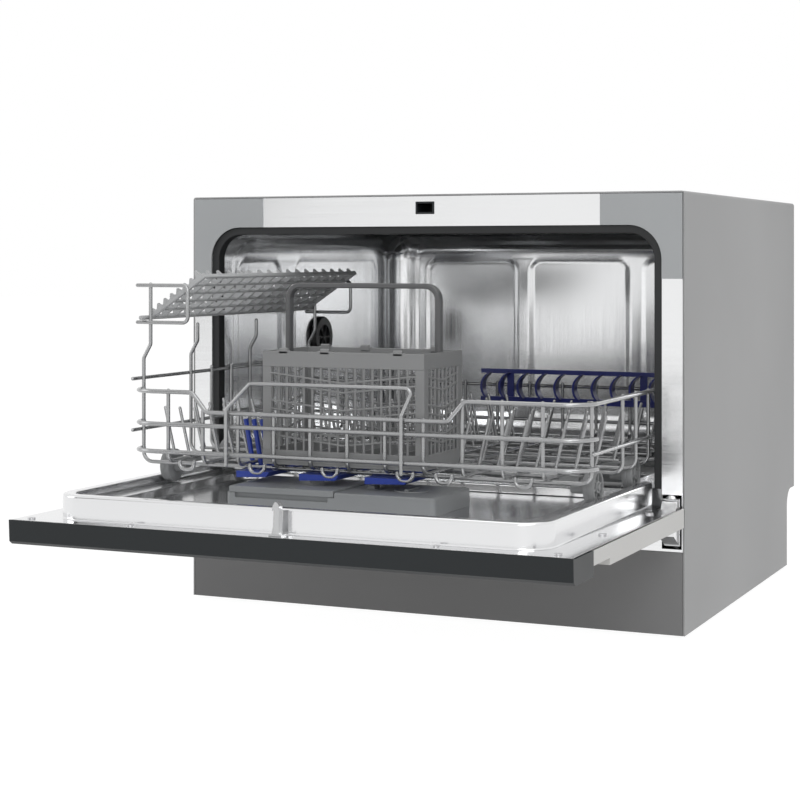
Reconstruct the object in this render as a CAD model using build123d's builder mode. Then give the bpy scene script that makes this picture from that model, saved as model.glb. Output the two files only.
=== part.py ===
from build123d import *
import math
import os

# Countertop dishwasher with its door open and the rack rolled out over it.
# Millimetres, +Z up, front towards -Y, X = 0 on the plane of symmetry.
os.makedirs("parts", exist_ok=True)

# ---- overall size ----
cab_w = 550.0
cab_d = 500.0
cab_h = 438.0
door_reach = 338.0
front_y = (door_reach - cab_d) / 2
back_y = front_y + cab_d
foot_gap = 4.0
fit_gap = 0.5

# ---- cabinet ----
skin = 1.5
plinth_top = 85.0
recess_top = 94.0
recess_deep = 40.0
recess_y = back_y - recess_deep
inner_hw = cab_w / 2 - skin

# ---- opening and tub ----
open_hw = 252.0
open_low = 100.0
open_top = 405.0
open_r = 34.0
frame_t = 1.2
seal_w = 8.0
seal_d = 12.0
tub_hw = 246.0
tub_top = 401.0
tub_back = front_y + 468.0
tub_wall = 2.5
tub_r = 30.0
ledge_z = 145.0
ledge_in = 205.0
tub_floor = 118.0
pan_back = tub_back - 18.0
pan_lip = 130.0
mouth_d = 24.0
emboss = 0.9
panel_low = 158.0
field_low = 168.0
field_top = 371.0

# ---- what passes through the tub floor ----
arm_y = front_y + 236.0
post_r = 8.0
filter_x = 112.0
filter_y = front_y + 330.0
filter_r = 34.0
float_x = 168.0
float_y = front_y + 62.0
stem_r = 4.0

# ---- door, lying open ----
door_t = 23.0
door_top = 130.0
door_low = door_top - door_t
door_front = front_y - door_reach
door_end = front_y - 3.0
panel_d = 53.0
groove_d = 45.0
groove_h = 9.0
rim_hw = 243.0
rim_w = 12.0
rim_h = 23.0
rim_front = door_front + 20.0
rim_r = 30.0
dish_z = 137.0
liner_t = 1.0
hinge_y = front_y - 16.5
hinge_z = 114.5
pin_r = 4.0
pin_gap = 0.05

# ---- rack ----
grid_front = front_y - 190.0
grid_rear = front_y + 213.0
rack_hw = 238.0
rail_r = 2.25
wire_r = 1.9
tine_r = 1.6
floor_z = 172.0
rail_z = (182.0, 209.0, 241.0)
corner_r = 26.0
wheel_r = 16.5
wheel_w = 11.0
wheel_face = 229.5
wheel_lift = 0.3
wheel_z = ledge_z + wheel_lift + wheel_r
wheel_ys = (front_y - 130.0, front_y - 11.0, front_y + 108.0)
axle_r = 3.0
axle_gap = 0.05
sides = (-1, 1)


def save(builder, name):
    """Label a finished piece and write it."""
    builder.part.label = name
    export_step(builder.part, f"parts/{name}.step")
    print(f"{name}: {len(builder.part.solids())} solids, {builder.part.volume:.0f} mm3")


def block(x0, x1, y0, y1, z0, z1, mode=Mode.ADD):
    """A box between two corners, in the open builder."""
    with Locations(((x0 + x1) / 2, (y0 + y1) / 2, (z0 + z1) / 2)):
        Box(abs(x1 - x0), abs(y1 - y0), abs(z1 - z0), mode=mode)


def rod(a, b, r, mode=Mode.ADD):
    """A round bar from a to b, in the open builder."""
    start = Vector(*a)
    run = Vector(*b) - start
    with Locations(Plane(origin=start, z_dir=run)):
        Cylinder(r, run.length, align=(Align.CENTER, Align.CENTER, Align.MIN), mode=mode)


def wire(points, bend, r):
    """A round wire along a bent route, in the open builder."""
    with BuildLine() as route:
        FilletPolyline(*[Vector(*p) for p in points], radius=bend)
    with BuildSketch(Plane(origin=route.line @ 0, z_dir=route.line % 0)) as section:
        Circle(r)
    sweep(section.sketch, path=route.line)


def pressed_field(plane, low, high, bottom, top, r, depth):
    """A shallow pressed field with rounded corners cut from the open builder."""
    with BuildSketch(plane) as field:
        with Locations(((low + high) / 2, (bottom + top) / 2)):
            RectangleRounded(high - low, top - bottom, r)
    extrude(field.sketch, amount=depth, mode=Mode.SUBTRACT)


# ================= cabinet =================
with BuildPart() as wrapper:
    with BuildSketch(Plane.XZ.offset(-front_y)):
        with Locations((0, (foot_gap + cab_h) / 2)):
            Rectangle(cab_w, cab_h - foot_gap)
        fillet(vertices().group_by(Axis.Y)[-1], radius=3.0)
        with Locations((0, (foot_gap + cab_h) / 2 - skin)):
            Rectangle(cab_w - 2 * skin, cab_h - foot_gap, mode=Mode.SUBTRACT)
    extrude(amount=-cab_d)
    block(-cab_w, cab_w, recess_y, back_y + 1, -1, recess_top, Mode.SUBTRACT)
    corner = edges().filter_by(Axis.X).filter_by(
        lambda e: abs(e.center().Y - recess_y) < 0.1 and abs(e.center().Z - recess_top) < 0.1)
    fillet(corner, radius=20.0)
save(wrapper, "wrapper")

with BuildPart() as base_tray:
    block(-inner_hw + fit_gap, inner_hw - fit_gap, front_y + 3, recess_y - 2, foot_gap, 34.0)
    block(-inner_hw + 3, inner_hw - 3, front_y + 5.5, recess_y - 4.5, foot_gap + 2.5, 35.0, Mode.SUBTRACT)
save(base_tray, "base_tray")

foot_x = 228.0
foot_ys = (front_y + 40.0, recess_y - 40.0)
with BuildPart() as feet:
    for fx in (-foot_x, foot_x):
        for fy in foot_ys:
            with BuildSketch():
                with Locations((fx, fy)):
                    Circle(15.0)
            extrude(amount=foot_gap)
    fillet(edges().filter_by(GeomType.CIRCLE).group_by(Axis.Z)[0], radius=1.0)
save(feet, "feet")

with BuildPart() as plinth:
    block(-inner_hw + fit_gap, inner_hw - fit_gap, front_y, front_y + 1.5, foot_gap, plinth_top)
    block(-inner_hw + fit_gap, inner_hw - fit_gap, front_y, front_y + 12, plinth_top - 1.5, plinth_top)
save(plinth, "plinth")

with BuildPart() as back_panel:
    block(-inner_hw + fit_gap, inner_hw - fit_gap, back_y - 2.0, back_y - 0.5, recess_top + 2,
          cab_h - skin - fit_gap)
    for vx in range(-150, 151, 60):
        block(vx - 20, vx + 20, back_y - 3, back_y, 350.0, 354.0, Mode.SUBTRACT)
        block(vx - 20, vx + 20, back_y - 3, back_y, 362.0, 366.0, Mode.SUBTRACT)
save(back_panel, "back_panel")

valve_x = -170.0
drain_x = 150.0
gland_x = 215.0
port_z = 60.0
valve_port_r = 11.0
drain_port_r = 9.5
gland_port_r = 8.0
with BuildPart() as rear_recess:
    block(-inner_hw + fit_gap, inner_hw - fit_gap, recess_y - 1.5, recess_y, foot_gap, recess_top + 1)
    block(-inner_hw + 20, inner_hw - 20, recess_y - 1.5, back_y - 2.5, recess_top - 0.5, recess_top + 1)
    for px, pr in ((valve_x, valve_port_r), (drain_x, drain_port_r), (gland_x, gland_port_r)):
        with Locations(Plane(origin=(px, recess_y - 5, port_z), z_dir=(0, 1, 0))):
            Cylinder(pr + 0.2, 20, mode=Mode.SUBTRACT)
save(rear_recess, "rear_recess")

with BuildPart() as rear_screws:
    for sx in (-262.0, -90.0, 90.0, 262.0):
        for sz in (recess_top + 12, cab_h - 14):
            with Locations(Plane(origin=(sx, back_y - 0.5, sz), z_dir=(0, 1, 0))):
                Cylinder(3.5, 0.5, align=(Align.CENTER, Align.CENTER, Align.MIN))
save(rear_screws, "rear_screws")

# ================= front frame, corners, lock =================
slot_w = 17.0
slot_h = 9.0
slot_z = 424.0


def opening_sketch(hw, low, top, r):
    """The rounded outline of the mouth, in the open sketch."""
    with Locations((0, (low + top) / 2)):
        Rectangle(2 * hw, top - low)
    fillet(vertices().group_by(Axis.Y)[-1], radius=r)


mouth_plane = Plane(origin=(0, front_y, 0), x_dir=(1, 0, 0), z_dir=(0, -1, 0))
with BuildPart() as mouth_cut:
    with BuildSketch(mouth_plane.offset(5)):
        opening_sketch(open_hw, open_low, open_top, open_r)
    extrude(amount=-20)

with BuildPart() as front_frame:
    block(-inner_hw + fit_gap, inner_hw - fit_gap, front_y, front_y + frame_t, plinth_top + fit_gap,
          cab_h - skin - fit_gap)
    add(mouth_cut.part, mode=Mode.SUBTRACT)
    block(-slot_w / 2 - 2, slot_w / 2 + 2, front_y - 1, front_y + 3, slot_z - slot_h / 2 - 2,
          slot_z + slot_h / 2 + 2, Mode.SUBTRACT)
    for s in sides:
        block(s * 252.0, s * 272.0, front_y - 1, front_y + 3, 88.0, 141.0, Mode.SUBTRACT)
save(front_frame, "front_frame")

corner_in = 189.0
corner_down = 352.0
with BuildPart() as corner_pieces:
    for s in sides:
        block(s * corner_in, s * (inner_hw - fit_gap), front_y - 1.0, front_y, open_top,
              cab_h - skin - fit_gap)
        block(s * (open_hw - open_r), s * (inner_hw - fit_gap), front_y - 1.0, front_y, corner_down, open_top)
    add(mouth_cut.part, mode=Mode.SUBTRACT)
save(corner_pieces, "corner_pieces")

with BuildPart() as door_lock:
    block(-30.0, 30.0, front_y + frame_t + 0.2, front_y + 52, slot_z - 11, slot_z + 11)
    block(-slot_w / 2 - 1.8, slot_w / 2 + 1.8, front_y - 0.8, front_y + 2, slot_z - slot_h / 2 - 1.8,
          slot_z + slot_h / 2 + 1.8)
    block(-slot_w / 2, slot_w / 2, front_y - 2, front_y + 34, slot_z - slot_h / 2, slot_z + slot_h / 2,
          Mode.SUBTRACT)
save(door_lock, "door_lock")

# ================= tub =================
with BuildPart() as tub_space:
    block(-tub_hw, tub_hw, front_y + mouth_d, tub_back, ledge_z, tub_top)
    top_edges = edges().filter_by(Axis.Y).group_by(Axis.Z)[-1]
    fillet(top_edges, radius=tub_r)
    rear_edges = edges().filter_by(Axis.Z).group_by(Axis.Y)[-1]
    fillet(rear_edges, radius=tub_r)

with BuildPart() as tub_weldment:
    block(-tub_hw - tub_wall, tub_hw + tub_wall, front_y + mouth_d, tub_back + tub_wall,
          ledge_z - tub_wall, tub_top + tub_wall)
    fillet(edges().filter_by(Axis.Y).group_by(Axis.Z)[-1], radius=tub_r + tub_wall)
    fillet(edges().filter_by(Axis.Z).group_by(Axis.Y)[-1], radius=tub_r + tub_wall)
    block(-ledge_in - tub_wall, ledge_in + tub_wall, front_y + mouth_d, pan_back + tub_wall,
          tub_floor - tub_wall, ledge_z)
    with BuildSketch(mouth_plane.offset(-frame_t)):
        opening_sketch(open_hw + 1.6, open_low - 1.6, open_top + 1.6, open_r + 1.6)
    extrude(amount=-(mouth_d - frame_t))
    add(tub_space.part, mode=Mode.SUBTRACT)
    with BuildSketch(mouth_plane):
        opening_sketch(open_hw, open_low, open_top, open_r)
    extrude(amount=-(mouth_d - 2.5), mode=Mode.SUBTRACT)
    with BuildSketch(mouth_plane.offset(-mouth_d + 5)):
        opening_sketch(tub_hw - 1, ledge_z, tub_top - 1, tub_r - 1)
    extrude(amount=-10, mode=Mode.SUBTRACT)
    block(-ledge_in, ledge_in, front_y + mouth_d, pan_back, tub_floor, ledge_z + 1, Mode.SUBTRACT)
    block(-ledge_in, ledge_in, front_y + mouth_d - 4, front_y + mouth_d + 2, pan_lip, ledge_z + 1,
          Mode.SUBTRACT)
    for s in sides:
        side_wall = Plane.YZ.offset(s * (tub_hw - 1))
        pressed_field(side_wall, front_y + 36.0, front_y + 452.0, panel_low, field_top + 18.0, 28.0,
                      s * (1 + emboss))
        for y0, y1 in ((50.0, 153.0), (188.0, 420.0)):
            pressed_field(side_wall, front_y + y0, front_y + y1, field_low, field_top, 18.0,
                          s * (1 + 2 * emboss))
    back_wall = Plane.XZ.offset(-(tub_back - 1))
    pressed_field(back_wall, -214.0, 219.0, panel_low, field_top + 20.0, 24.0, -(1 + emboss))
    for x0, x1 in ((-199.0, -72.0), (-56.0, 76.0), (92.0, 208.0)):
        pressed_field(back_wall, x0, x1, field_low, field_top, 16.0, -(1 + 2 * emboss))
    for hx, hy, hr in ((0.0, arm_y, post_r + 0.1), (filter_x, filter_y, filter_r + 0.5),
                       (float_x, float_y, stem_r + 0.3)):
        with Locations((hx, hy, tub_floor)):
            Cylinder(hr, 4 * tub_wall, mode=Mode.SUBTRACT)

# The bottom pan, with the ledges that the wheels run on, is welded to the shell above it.
with BuildPart() as tub_pan:
    add(tub_weldment.part)
    split(bisect_by=Plane.XY.offset(ledge_z), keep=Keep.BOTTOM)
save(tub_pan, "tub_pan")

with BuildPart() as tub:
    add(tub_weldment.part)
    split(bisect_by=Plane.XY.offset(ledge_z), keep=Keep.TOP)
save(tub, "tub")

with BuildPart() as tub_seal:
    with BuildSketch(mouth_plane.offset(-(frame_t + 0.6))):
        opening_sketch(open_hw - 0.1, ledge_z + 1, open_top - 0.1, open_r - 0.1)
    extrude(amount=-seal_d)
    with BuildSketch(mouth_plane):
        opening_sketch(open_hw - seal_w, ledge_z - 4, open_top - seal_w, open_r - seal_w)
    extrude(amount=-2 * seal_d, mode=Mode.SUBTRACT)
save(tub_seal, "tub_seal")

vent_y = front_y + 256.0
vent_z = 276.0
vent_deep = 5.8
with BuildPart() as vent_ring:
    with Locations(Plane(origin=(-tub_hw - 2 * emboss, vent_y, vent_z), z_dir=(1, 0, 0))):
        Cylinder(25.0, vent_deep, align=(Align.CENTER, Align.CENTER, Align.MIN))
        with Locations((0, 0, 2.8)):
            Cylinder(15.0, 8.0, align=(Align.CENTER, Align.CENTER, Align.MIN), mode=Mode.SUBTRACT)
    fillet(edges().filter_by(GeomType.CIRCLE).group_by(Axis.X)[-1].sort_by(SortBy.RADIUS)[-1:], radius=3.0)
    for k in range(3):
        turn = math.radians(60.0 * k)
        dy, dz = 15.4 * math.cos(turn), 15.4 * math.sin(turn)
        rod((-tub_hw + 2.2, vent_y - dy, vent_z - dz), (-tub_hw + 2.2, vent_y + dy, vent_z + dz), 1.4)
save(vent_ring, "vent_ring")

# ---- sump, filter, spray arm, float ----
with BuildPart() as sump:
    with Locations((0, arm_y, tub_floor - tub_wall - 0.2)):
        Cylinder(16.0, 30.0, align=(Align.CENTER, Align.CENTER, Align.MAX))
    with Locations((filter_x, filter_y, tub_floor - tub_wall - 0.2)):
        Cylinder(filter_r + 5, 52.0, align=(Align.CENTER, Align.CENTER, Align.MAX))
        Cylinder(filter_r + 2.5, 49.0, align=(Align.CENTER, Align.CENTER, Align.MAX), mode=Mode.SUBTRACT)
    with Locations((0, arm_y, tub_floor - tub_wall - 1)):
        Cylinder(post_r, tub_wall + 20.0, align=(Align.CENTER, Align.CENTER, Align.MIN))
    with Locations((0, arm_y, tub_floor + 0.2)):
        Cylinder(14.0, 3.0, align=(Align.CENTER, Align.CENTER, Align.MIN))
    block(0, filter_x - filter_r - 3.5, arm_y - 12, arm_y + 12, 88.0, 112.0)
    block(filter_x - 45, filter_x - filter_r, arm_y - 12, filter_y, 80.0, 104.0)
save(sump, "sump")

with BuildPart() as filter_cup:
    with Locations((filter_x, filter_y, 70.0)):
        Cylinder(filter_r, tub_floor + 1.2 - 70.0, align=(Align.CENTER, Align.CENTER, Align.MIN))
        Cylinder(filter_r - 2.0, tub_floor + 2.0 - 70.0, align=(Align.CENTER, Align.CENTER, Align.MIN),
                 mode=Mode.SUBTRACT)
    with Locations((filter_x, filter_y, 70.0)):
        Cylinder(filter_r - 1.0, 2.0, align=(Align.CENTER, Align.CENTER, Align.MIN))
    block(filter_x - filter_r + 1, filter_x + filter_r - 1, filter_y - 2, filter_y + 2, tub_floor - 10,
          tub_floor + 3.5)
save(filter_cup, "filter_cup")

arm_len = 186.0
arm_z = tub_floor + 5.0
with BuildPart() as spray_arm:
    with BuildSketch(Plane.XY.offset(arm_z)):
        with Locations((0, arm_y)):
            SlotOverall(2 * arm_len, 34.0)
            Circle(27.0)
    extrude(amount=9.0)
    chamfer(edges().group_by(Axis.Z)[-1], length=2.0)
    with Locations((0, arm_y, arm_z)):
        Cylinder(15.0, 18.0, align=(Align.CENTER, Align.CENTER, Align.MIN))
        Cylinder(post_r + 0.08, 14.0, align=(Align.CENTER, Align.CENTER, Align.MIN), mode=Mode.SUBTRACT)
    for k in range(1, 6):
        for s in sides:
            with Locations((s * (28.0 + 27.0 * k), arm_y + s * 4.0, arm_z + 9.0)):
                Cylinder(2.0, 3.0, mode=Mode.SUBTRACT)
save(spray_arm, "spray_arm")

with BuildPart() as float_dome:
    with Locations((float_x, float_y, tub_floor + 0.4)):
        Cylinder(17.0, 10.0, align=(Align.CENTER, Align.CENTER, Align.MIN))
    fillet(edges().filter_by(GeomType.CIRCLE).group_by(Axis.Z)[-1], radius=5.0)
    with Locations((float_x, float_y, 84.0)):
        Cylinder(stem_r, tub_floor + 2.0 - 84.0, align=(Align.CENTER, Align.CENTER, Align.MIN))
        Cylinder(8.0, 14.0, align=(Align.CENTER, Align.CENTER, Align.MIN))
save(float_dome, "float_dome")

# ---- machinery under the tub ----
with BuildPart() as wash_pump:
    with Locations(Plane(origin=(-40, arm_y + 20, 62.0), z_dir=(-1, 0, 0))):
        Cylinder(34.0, 36.0, align=(Align.CENTER, Align.CENTER, Align.MIN))
        Cylinder(27.0, 110.0, align=(Align.CENTER, Align.CENTER, Align.MIN))
        Cylinder(12.0, 16.0, align=(Align.CENTER, Align.CENTER, Align.MAX))
    block(-130, -60, arm_y, arm_y + 40, foot_gap + 2.7, 40.0)
save(wash_pump, "wash_pump")

with BuildPart() as drain_pump:
    with Locations(Plane(origin=(drain_x, recess_y - 40, port_z), z_dir=(0, -1, 0))):
        Cylinder(21.0, 34.0, align=(Align.CENTER, Align.CENTER, Align.MIN))
        Cylinder(16.0, 54.0, align=(Align.CENTER, Align.CENTER, Align.MIN))
    block(drain_x - 15, drain_x + 15, recess_y - 72, recess_y - 42, foot_gap + 2.7, 45.0)
save(drain_pump, "drain_pump")

with BuildPart() as heater:
    with Locations(Plane(origin=(-40, front_y + 120, 62.0), z_dir=(1, 0, 0))):
        Cylinder(19.0, 130.0)
        Cylinder(9.0, 160.0)
    block(-80, 0, front_y + 105, front_y + 135, foot_gap + 2.7, 50.0)
save(heater, "heater")

with BuildPart() as drain_connector:
    with Locations(Plane(origin=(drain_x, recess_y - 39.5, port_z), z_dir=(0, 1, 0))):
        Cylinder(drain_port_r, 66.0, align=(Align.CENTER, Align.CENTER, Align.MIN))
        Cylinder(6.5, 80.0, align=(Align.CENTER, Align.CENTER, Align.MIN), mode=Mode.SUBTRACT)
    with Locations(Plane(origin=(drain_x, recess_y + 0.3, port_z), z_dir=(0, 1, 0))):
        Cylinder(15.0, 3.0, align=(Align.CENTER, Align.CENTER, Align.MIN))
        Cylinder(6.5, 3.0, align=(Align.CENTER, Align.CENTER, Align.MIN), mode=Mode.SUBTRACT)
save(drain_connector, "drain_connector")

thread_r = 13.1
with BuildPart() as inlet_valve:
    block(valve_x - 22, valve_x + 22, recess_y - 62, recess_y - 16, foot_gap + 2.7, 84.0)
    with Locations(Plane(origin=(valve_x, recess_y - 16.5, port_z), z_dir=(0, 1, 0))):
        Cylinder(valve_port_r, 17.0, align=(Align.CENTER, Align.CENTER, Align.MIN))
    with Locations(Plane(origin=(valve_x, recess_y + 0.3, port_z), z_dir=(0, 1, 0))):
        Cylinder(17.0, 4.0, align=(Align.CENTER, Align.CENTER, Align.MIN))
        Cylinder(thread_r, 18.0, align=(Align.CENTER, Align.CENTER, Align.MIN))
    with Locations(Plane(origin=(valve_x, recess_y - 8.0, port_z), z_dir=(0, 1, 0))):
        Cylinder(8.0, 40.0, align=(Align.CENTER, Align.CENTER, Align.MIN), mode=Mode.SUBTRACT)
save(inlet_valve, "inlet_valve")

with BuildPart() as cord_gland:
    with Locations(Plane(origin=(gland_x, recess_y - 12.0, port_z), z_dir=(0, 1, 0))):
        Cylinder(gland_port_r, 22.0, align=(Align.CENTER, Align.CENTER, Align.MIN))
    with Locations(Plane(origin=(gland_x, recess_y + 0.3, port_z), z_dir=(0, 1, 0))):
        Cylinder(12.0, 3.0, align=(Align.CENTER, Align.CENTER, Align.MIN))
    with Locations(Plane(origin=(gland_x, recess_y - 20.0, port_z), z_dir=(0, 1, 0))):
        Cylinder(4.2, 60.0, align=(Align.CENTER, Align.CENTER, Align.MIN), mode=Mode.SUBTRACT)
save(cord_gland, "cord_gland")

# ================= hinges =================
bracket_x = (256.0, 271.0)
with BuildPart() as hinge_brackets:
    with BuildSketch(Plane.YZ.offset(bracket_x[0])):
        with BuildLine():
            Polyline((front_y - 25, 104.0), (front_y - 25, 118.0), (front_y - 12, 138.0),
                     (front_y + 8, 138.0), (front_y + 60, 112.0), (front_y + 60, 92.0),
                     (front_y - 4, 92.0), (front_y - 25, 104.0))
        make_face()
        fillet(vertices().group_by(Axis.Y)[-1], radius=9.0)
    extrude(amount=bracket_x[1] - bracket_x[0])
    rod((250, hinge_y, hinge_z), (280, hinge_y, hinge_z), pin_r + pin_gap, Mode.SUBTRACT)
    mirror(about=Plane.YZ)
save(hinge_brackets, "hinge_brackets")

with BuildPart() as hinge_pins:
    for s in sides:
        rod((s * 246.5, hinge_y, hinge_z), (s * 271.8, hinge_y, hinge_z), pin_r)
save(hinge_pins, "hinge_pins")

with BuildPart() as hinge_springs:
    for s in sides:
        block(s * 257.0, s * 262.0, front_y + 26, front_y + 44, 40.0, 91.5)
        rod((s * 258.0, front_y + 35, 48.0), (s * 265.0, front_y + 35, 48.0), 4.0)
        rod((s * 265.0, front_y + 32, 48.0), (s * 265.0, front_y + 230, 48.0), 6.0)
save(hinge_springs, "hinge_springs")

# ================= door, lying open =================
notch_in = 253.0
notch_y = front_y - 28.0
panel_back = door_front + panel_d
groove_back = panel_back + groove_d
door_hw = cab_w / 2

with BuildPart() as door_outer:
    block(-door_hw, door_hw, groove_back, door_end, door_low + 3, door_top - liner_t - 0.2)
    block(-door_hw, door_hw, panel_back + 0.2, groove_back, door_low + groove_h, door_top - liner_t - 0.2)
    block(-door_hw + skin, door_hw - skin, groove_back + skin, door_end - skin, door_low + 3 + skin,
          door_top, Mode.SUBTRACT)
    block(-door_hw + skin, door_hw - skin, panel_back + 2, groove_back + 2, door_low + groove_h + skin,
          door_top, Mode.SUBTRACT)
    for s in sides:
        block(s * notch_in, s * (door_hw - skin), notch_y, door_end + 1, door_low, door_top, Mode.SUBTRACT)
        block(s * 245.0, s * 252.5, notch_y + 2, door_end - 4, door_low + 4, door_top - liner_t - 0.2)
        rod((s * 240, hinge_y, hinge_z), (s * 260, hinge_y, hinge_z), pin_r + pin_gap, Mode.SUBTRACT)
save(door_outer, "door_outer")

button_r = 7.0
button_xs = (-205.0, 105.0, 155.0, 205.0)
button_gap = 0.3
button_y = door_front + 28.0
display_x = 10.0
display_hw = 25.8
with BuildPart() as control_panel:
    with BuildSketch(Plane.YZ):
        with BuildLine():
            Polyline((door_front, door_top - 0.2), (door_front + 1.0, door_low + 3),
                     (door_front + 5.0, door_low), (panel_back, door_low), (panel_back, door_top - 1.2),
                     (door_front + 2.0, door_top - 1.2), (door_front + 2.0, door_top - 0.2),
                     (door_front, door_top - 0.2))
        make_face()
    extrude(amount=door_hw, both=True)
    block(-door_hw + 2.5, door_hw - 2.5, door_front + 4.0, panel_back - 2.0, door_low + 2.5, door_top,
          Mode.SUBTRACT)
    for bx in button_xs:
        with Locations((bx, button_y, door_low)):
            Cylinder(button_r + button_gap, 12.0, mode=Mode.SUBTRACT)
    block(display_x - display_hw - 0.2, display_x + display_hw + 0.2, button_y - 9, button_y + 9,
          door_low - 1, door_low + 1.2, Mode.SUBTRACT)
save(control_panel, "control_panel")

with BuildPart() as display_window:
    block(display_x - display_hw, display_x + display_hw, button_y - 8.8, button_y + 8.8,
          door_low + 0.1, door_low + 1.1)
save(display_window, "display_window")

for k, bx in enumerate(button_xs):
    with BuildPart() as button:
        with Locations((bx, button_y, door_low - 0.8)):
            Cylinder(button_r, 5.0, align=(Align.CENTER, Align.CENTER, Align.MIN))
            Cylinder(2.0, 9.0, align=(Align.CENTER, Align.CENTER, Align.MIN))
        fillet(edges().filter_by(GeomType.CIRCLE).group_by(Axis.Z)[0], radius=0.8)
    save(button, f"button_{k + 1}")

with BuildPart() as control_board:
    block(-230.0, 230.0, door_front + 10, panel_back - 4, door_low + 11.5, door_low + 13.1)
save(control_board, "control_board")

dish_hw = 205.0
with BuildPart() as inner_door:
    block(-door_hw + 1.5, door_hw - 1.5, door_front + 2.2, door_end, door_top - liner_t, door_top)
    with BuildSketch(Plane.XY.offset(door_top)):
        with Locations((0, (rim_front + door_end) / 2)):
            Rectangle(2 * rim_hw, door_end - rim_front)
        fillet(vertices().group_by(Axis.Y)[0], radius=rim_r)
    extrude(amount=rim_h)
    fillet(edges().group_by(Axis.Z)[-1].filter_by(lambda e: e.center().Y < door_end - 1), radius=2.0)
    with BuildSketch(Plane.XY.offset(ledge_z)):
        with Locations((0, (rim_front + rim_w + door_end + 5) / 2)):
            Rectangle(2 * (rim_hw - rim_w), door_end + 5 - rim_front - rim_w)
        fillet(vertices().group_by(Axis.Y)[0], radius=rim_r - rim_w)
    extrude(amount=20.0, mode=Mode.SUBTRACT)
    with BuildSketch(Plane.XY.offset(dish_z)):
        with Locations((0, (rim_front + rim_w + 20 + door_end - 16) / 2)):
            RectangleRounded(2 * dish_hw, door_end - 16 - rim_front - rim_w - 20, 22.0)
    extrude(amount=20.0, mode=Mode.SUBTRACT)
    block(-rim_hw + 2, rim_hw - 2, rim_front + 3, door_end - 2, door_top - 5, dish_z - 2, Mode.SUBTRACT)
    for s in sides:
        block(s * notch_in, s * 300, notch_y, door_end + 1, door_low, door_top + 1, Mode.SUBTRACT)
save(inner_door, "inner_door")

hook_y = hinge_y - (slot_z - hinge_z)
with BuildPart() as latch_hook:
    with BuildSketch(Plane.YZ):
        with BuildLine():
            Polyline((hook_y - 3, door_top), (hook_y - 3, door_top + 20), (hook_y - 6, door_top + 22),
                     (hook_y - 1, door_top + 30), (hook_y + 1.5, door_top + 30),
                     (hook_y + 3.5, door_top + 26), (hook_y + 3.5, door_top), (hook_y - 3, door_top))
        make_face()
    extrude(amount=3.5, both=True)
    block(-6.5, 6.5, hook_y - 4.0, hook_y + 4.0, door_top, door_top + 2)
save(latch_hook, "latch_hook")

with BuildPart() as door_screws:
    spots = [(s * 258.0, y) for s in sides for y in (door_front + 12, door_front + 130, door_end - 60)]
    spots += [(x, door_front + 11) for x in (-150.0, 150.0)]
    for sx, sy in spots:
        with Locations((sx, sy, door_top)):
            Cylinder(3.6, 1.4, align=(Align.CENTER, Align.CENTER, Align.MIN))
    for sx, sy in spots:
        with Locations((sx, sy, door_top + 0.7)):
            Box(4.6, 0.8, 1.6, align=(Align.CENTER, Align.CENTER, Align.MIN), mode=Mode.SUBTRACT)
save(door_screws, "door_screws")

# ---- dispenser ----
disp_x = (-116.0, 100.0)
disp_y = (front_y - 212.0, front_y - 122.0)
disp_z = 154.0
lid_x = (-112.0, -2.0)
lid_t = 4.0
well_x = (-106.0, -58.0)
cap_x = 58.0
cap_y = front_y - 166.0
cap_r = 17.0
with BuildPart() as dispenser:
    with BuildSketch(Plane.XY.offset(dish_z)):
        with Locations(((disp_x[0] + disp_x[1]) / 2, (disp_y[0] + disp_y[1]) / 2)):
            RectangleRounded(disp_x[1] - disp_x[0], disp_y[1] - disp_y[0], 5.0)
    extrude(amount=disp_z - dish_z)
    chamfer(edges().group_by(Axis.Z)[-1], length=1.2)
    block(disp_x[0] - 1, lid_x[1] + 1, disp_y[0] - 1, disp_y[1] + 1, disp_z - lid_t - 0.6, disp_z + 1,
          Mode.SUBTRACT)
    block(lid_x[0] + 6, lid_x[1] - 6, disp_y[0] - 1, disp_y[0] + 3, disp_z - lid_t - 5, disp_z, Mode.SUBTRACT)
    block(well_x[0], well_x[1] + 46, disp_y[0] + 14, disp_y[1] - 14, dish_z + 4, disp_z, Mode.SUBTRACT)
    with Locations((cap_x, cap_y, disp_z - 5)):
        Cylinder(cap_r + 0.35, 10.0, align=(Align.CENTER, Align.CENTER, Align.MIN), mode=Mode.SUBTRACT)
    block(12.0, 26.0, cap_y - 7.5, cap_y + 7.5, disp_z - 6, disp_z + 5, Mode.SUBTRACT)
save(dispenser, "dispenser")

with BuildPart() as detergent_lid:
    block(lid_x[0], lid_x[1], disp_y[0] - 0.5, disp_y[1] - 1, disp_z - lid_t - 0.2, disp_z + 1.6)
    fillet(edges().group_by(Axis.Z)[-1], radius=1.0)
save(detergent_lid, "detergent_lid")

with BuildPart() as lid_latch:
    block(12.4, 25.6, cap_y - 7.1, cap_y + 7.1, disp_z - 3.4, disp_z + 0.4)
    block(15.0, 22.0, cap_y - 6.0, cap_y + 6.0, disp_z + 0.4, disp_z + 3.0)
save(lid_latch, "lid_latch")

with BuildPart() as rinse_cap:
    with Locations((cap_x, cap_y, disp_z - 4.6)):
        Cylinder(cap_r, 5.4, align=(Align.CENTER, Align.CENTER, Align.MIN))
    fillet(edges().filter_by(GeomType.CIRCLE).group_by(Axis.Z)[-1], radius=0.8)
    block(cap_x - 2, cap_x + 2, cap_y - 13, cap_y + 13, disp_z + 0.8, disp_z + 2.6)
save(rinse_cap, "rinse_cap")

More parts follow.
